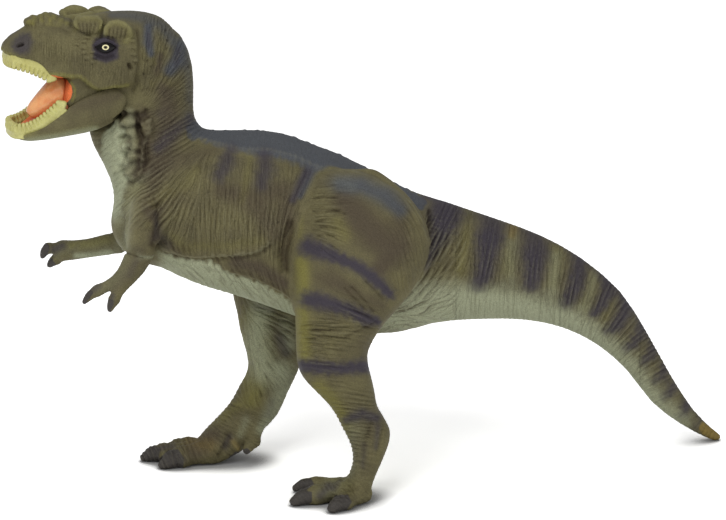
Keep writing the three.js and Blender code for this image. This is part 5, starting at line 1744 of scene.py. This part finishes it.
skins, smooth_points, smooth_faces = skin_pieces()
jaw_skin = jaw_piece()
vinyl = skin_material()
for piece in skins + [jaw_skin]:
    dress(piece, vinyl)

# The eyes are set into the front of the head's skin, in front of this x in mm.
head_rear = -95
head_near = smooth_points[:, 0] < head_rear
head_faces = smooth_faces[head_near[smooth_faces].all(axis=1)]
head_tree = BVHTree.FromPolygons(smooth_points.tolist(), head_faces.tolist())
eyes = [eye_piece("left_eye", head_tree, False), eye_piece("right_eye", head_tree, True)]
for piece in eyes:
    dress(piece, eye_material())

# The painted parts of the mouth: name, body, cell, smoothing, growth, how much the ribs are
# deepened, slot, two tones and the roughness.
mouth_parts = [
    ("mouth_floor", "jaw", 0.3, 0.8, 1.4, 0, "mouth", linear(226, 112, 64), linear(206, 90, 50), 0.28),
    ("mouth_roof", "figure", 0.4, 0.8, 0.1, 0, "mouth", linear(206, 100, 60), linear(186, 80, 48), 0.34),
    ("tongue", "jaw", 0.3, 1.1, 0.9, 0, "tongue", linear(248, 174, 114), linear(238, 142, 84), 0.16),
    ("lower_teeth", "jaw", 0.2, 0.2, 0.2, 1.6, "teeth", linear(190, 188, 112), linear(168, 164, 88), 0.42),
    ("upper_teeth", "figure", 0.2, 0.2, 0.2, 1.6, "teeth", linear(186, 182, 102), linear(166, 160, 80), 0.42),
]
for name, body, cell, width, grow, ribbed, slot, light, deep, rough in mouth_parts:
    piece = rounded_piece(name, body, cell, width, grow, ribbed)
    dress(piece, glossy_material(name + "_paint", light, deep, rough))
steel = glossy_material("pin_steel", linear(190, 190, 192), linear(170, 170, 174), 0.3)
dress(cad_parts["jaw_pin"], steel)

# The floor: half its side in mm, its squares along a side, how much brighter the camera sees it than the
# figure does, and how far from the soles its painted contact shadow reaches, in mm.
floor_half = 3000.0
floor_side = 24
floor_lift = 2.4
contact_reach = 16

# The light from all round, and the lamps: where each stands and how wide it is, in mm, and its power in
# watts. They look at the middle of the figure.
sky_light = 0.52
lamps = {"key": ((-550, -700, 1000), 800, 6.6), "fill": ((500, -1200, 350), 900, 3.2)}
lamp_aim = Vector((0, 0, 80)) * MM


def make_floor():
    across = np.linspace(-floor_half, floor_half, floor_side + 1)
    x, y = np.meshgrid(across, across)
    points = np.stack([x.ravel(), y.ravel(), np.zeros(x.size)], axis=1)
    row, column = np.mgrid[0:floor_side, 0:floor_side]
    corner = (row * (floor_side + 1) + column).ravel()
    faces = np.stack([corner, corner + 1, corner + floor_side + 2, corner + floor_side + 1], axis=1)
    piece = mesh_object("studio_floor", points, faces)
    t = Tree("studio_floor")
    rays = t.node("ShaderNodeLightPath").outputs
    seen = t.math("MAXIMUM", rays["Is Glossy Ray"], rays["Is Transmission Ray"])
    seen = t.math("MAXIMUM", rays["Is Camera Ray"], seen)
    tone = t.range(t.noise(40.0), 0.3, 0.7, 0.78, 0.82, False)
    tone = t.math("MULTIPLY", tone, t.range(seen, 0.0, 1.0, 1.0, floor_lift, False))
    # A painted contact shadow: the floor is darkened right under the soles, where the figure is near.
    beside = t.node("ShaderNodeAmbientOcclusion", Distance=contact_reach * MM).outputs["AO"]
    tone = t.math("MULTIPLY", tone, t.range(beside, 0.5, 0.95, 0.22, 1.0))
    flat = t.node("ShaderNodeBsdfDiffuse", Color=t.grey(tone))
    t.put(t.nodes["Material Output"].inputs["Surface"], flat.outputs[0])
    dress(piece, t.material)


make_floor()

world = bpy.data.worlds.new("studio")
bpy.context.scene.world = world
world.use_nodes = True
world.node_tree.nodes["Background"].inputs["Color"].default_value = (1, 1, 1, 1)
world.node_tree.nodes["Background"].inputs["Strength"].default_value = sky_light


def area_light(name, place, size, power):
    lamp = bpy.data.lights.new(name, "AREA")
    lamp.shape = "DISK"
    lamp.size = size * MM
    lamp.energy = power
    item = bpy.data.objects.new(name, lamp)
    item.location = Vector(place) * MM
    item.rotation_mode = "QUATERNION"
    item.rotation_quaternion = (lamp_aim - item.location).to_track_quat("-Z", "Y")
    bpy.context.scene.collection.objects.link(item)


for name, (place, size, power) in lamps.items():
    area_light(name, place, size, power)

camera = bpy.data.cameras.new("camera")
camera.sensor_width = 36
camera.lens = pixels_at_target * camera_distance / picture_width * camera.sensor_width
camera.clip_start = 0.01
camera_item = bpy.data.objects.new("camera", camera)
camera_item.location = Vector(camera_target + camera_back * camera_distance) * MM
camera_item.rotation_mode = "QUATERNION"
camera_item.rotation_quaternion = Vector(-camera_back).to_track_quat("-Z", "Y")
bpy.context.scene.collection.objects.link(camera_item)
bpy.context.scene.camera = camera_item
bpy.context.scene.view_settings.view_transform = "Standard"
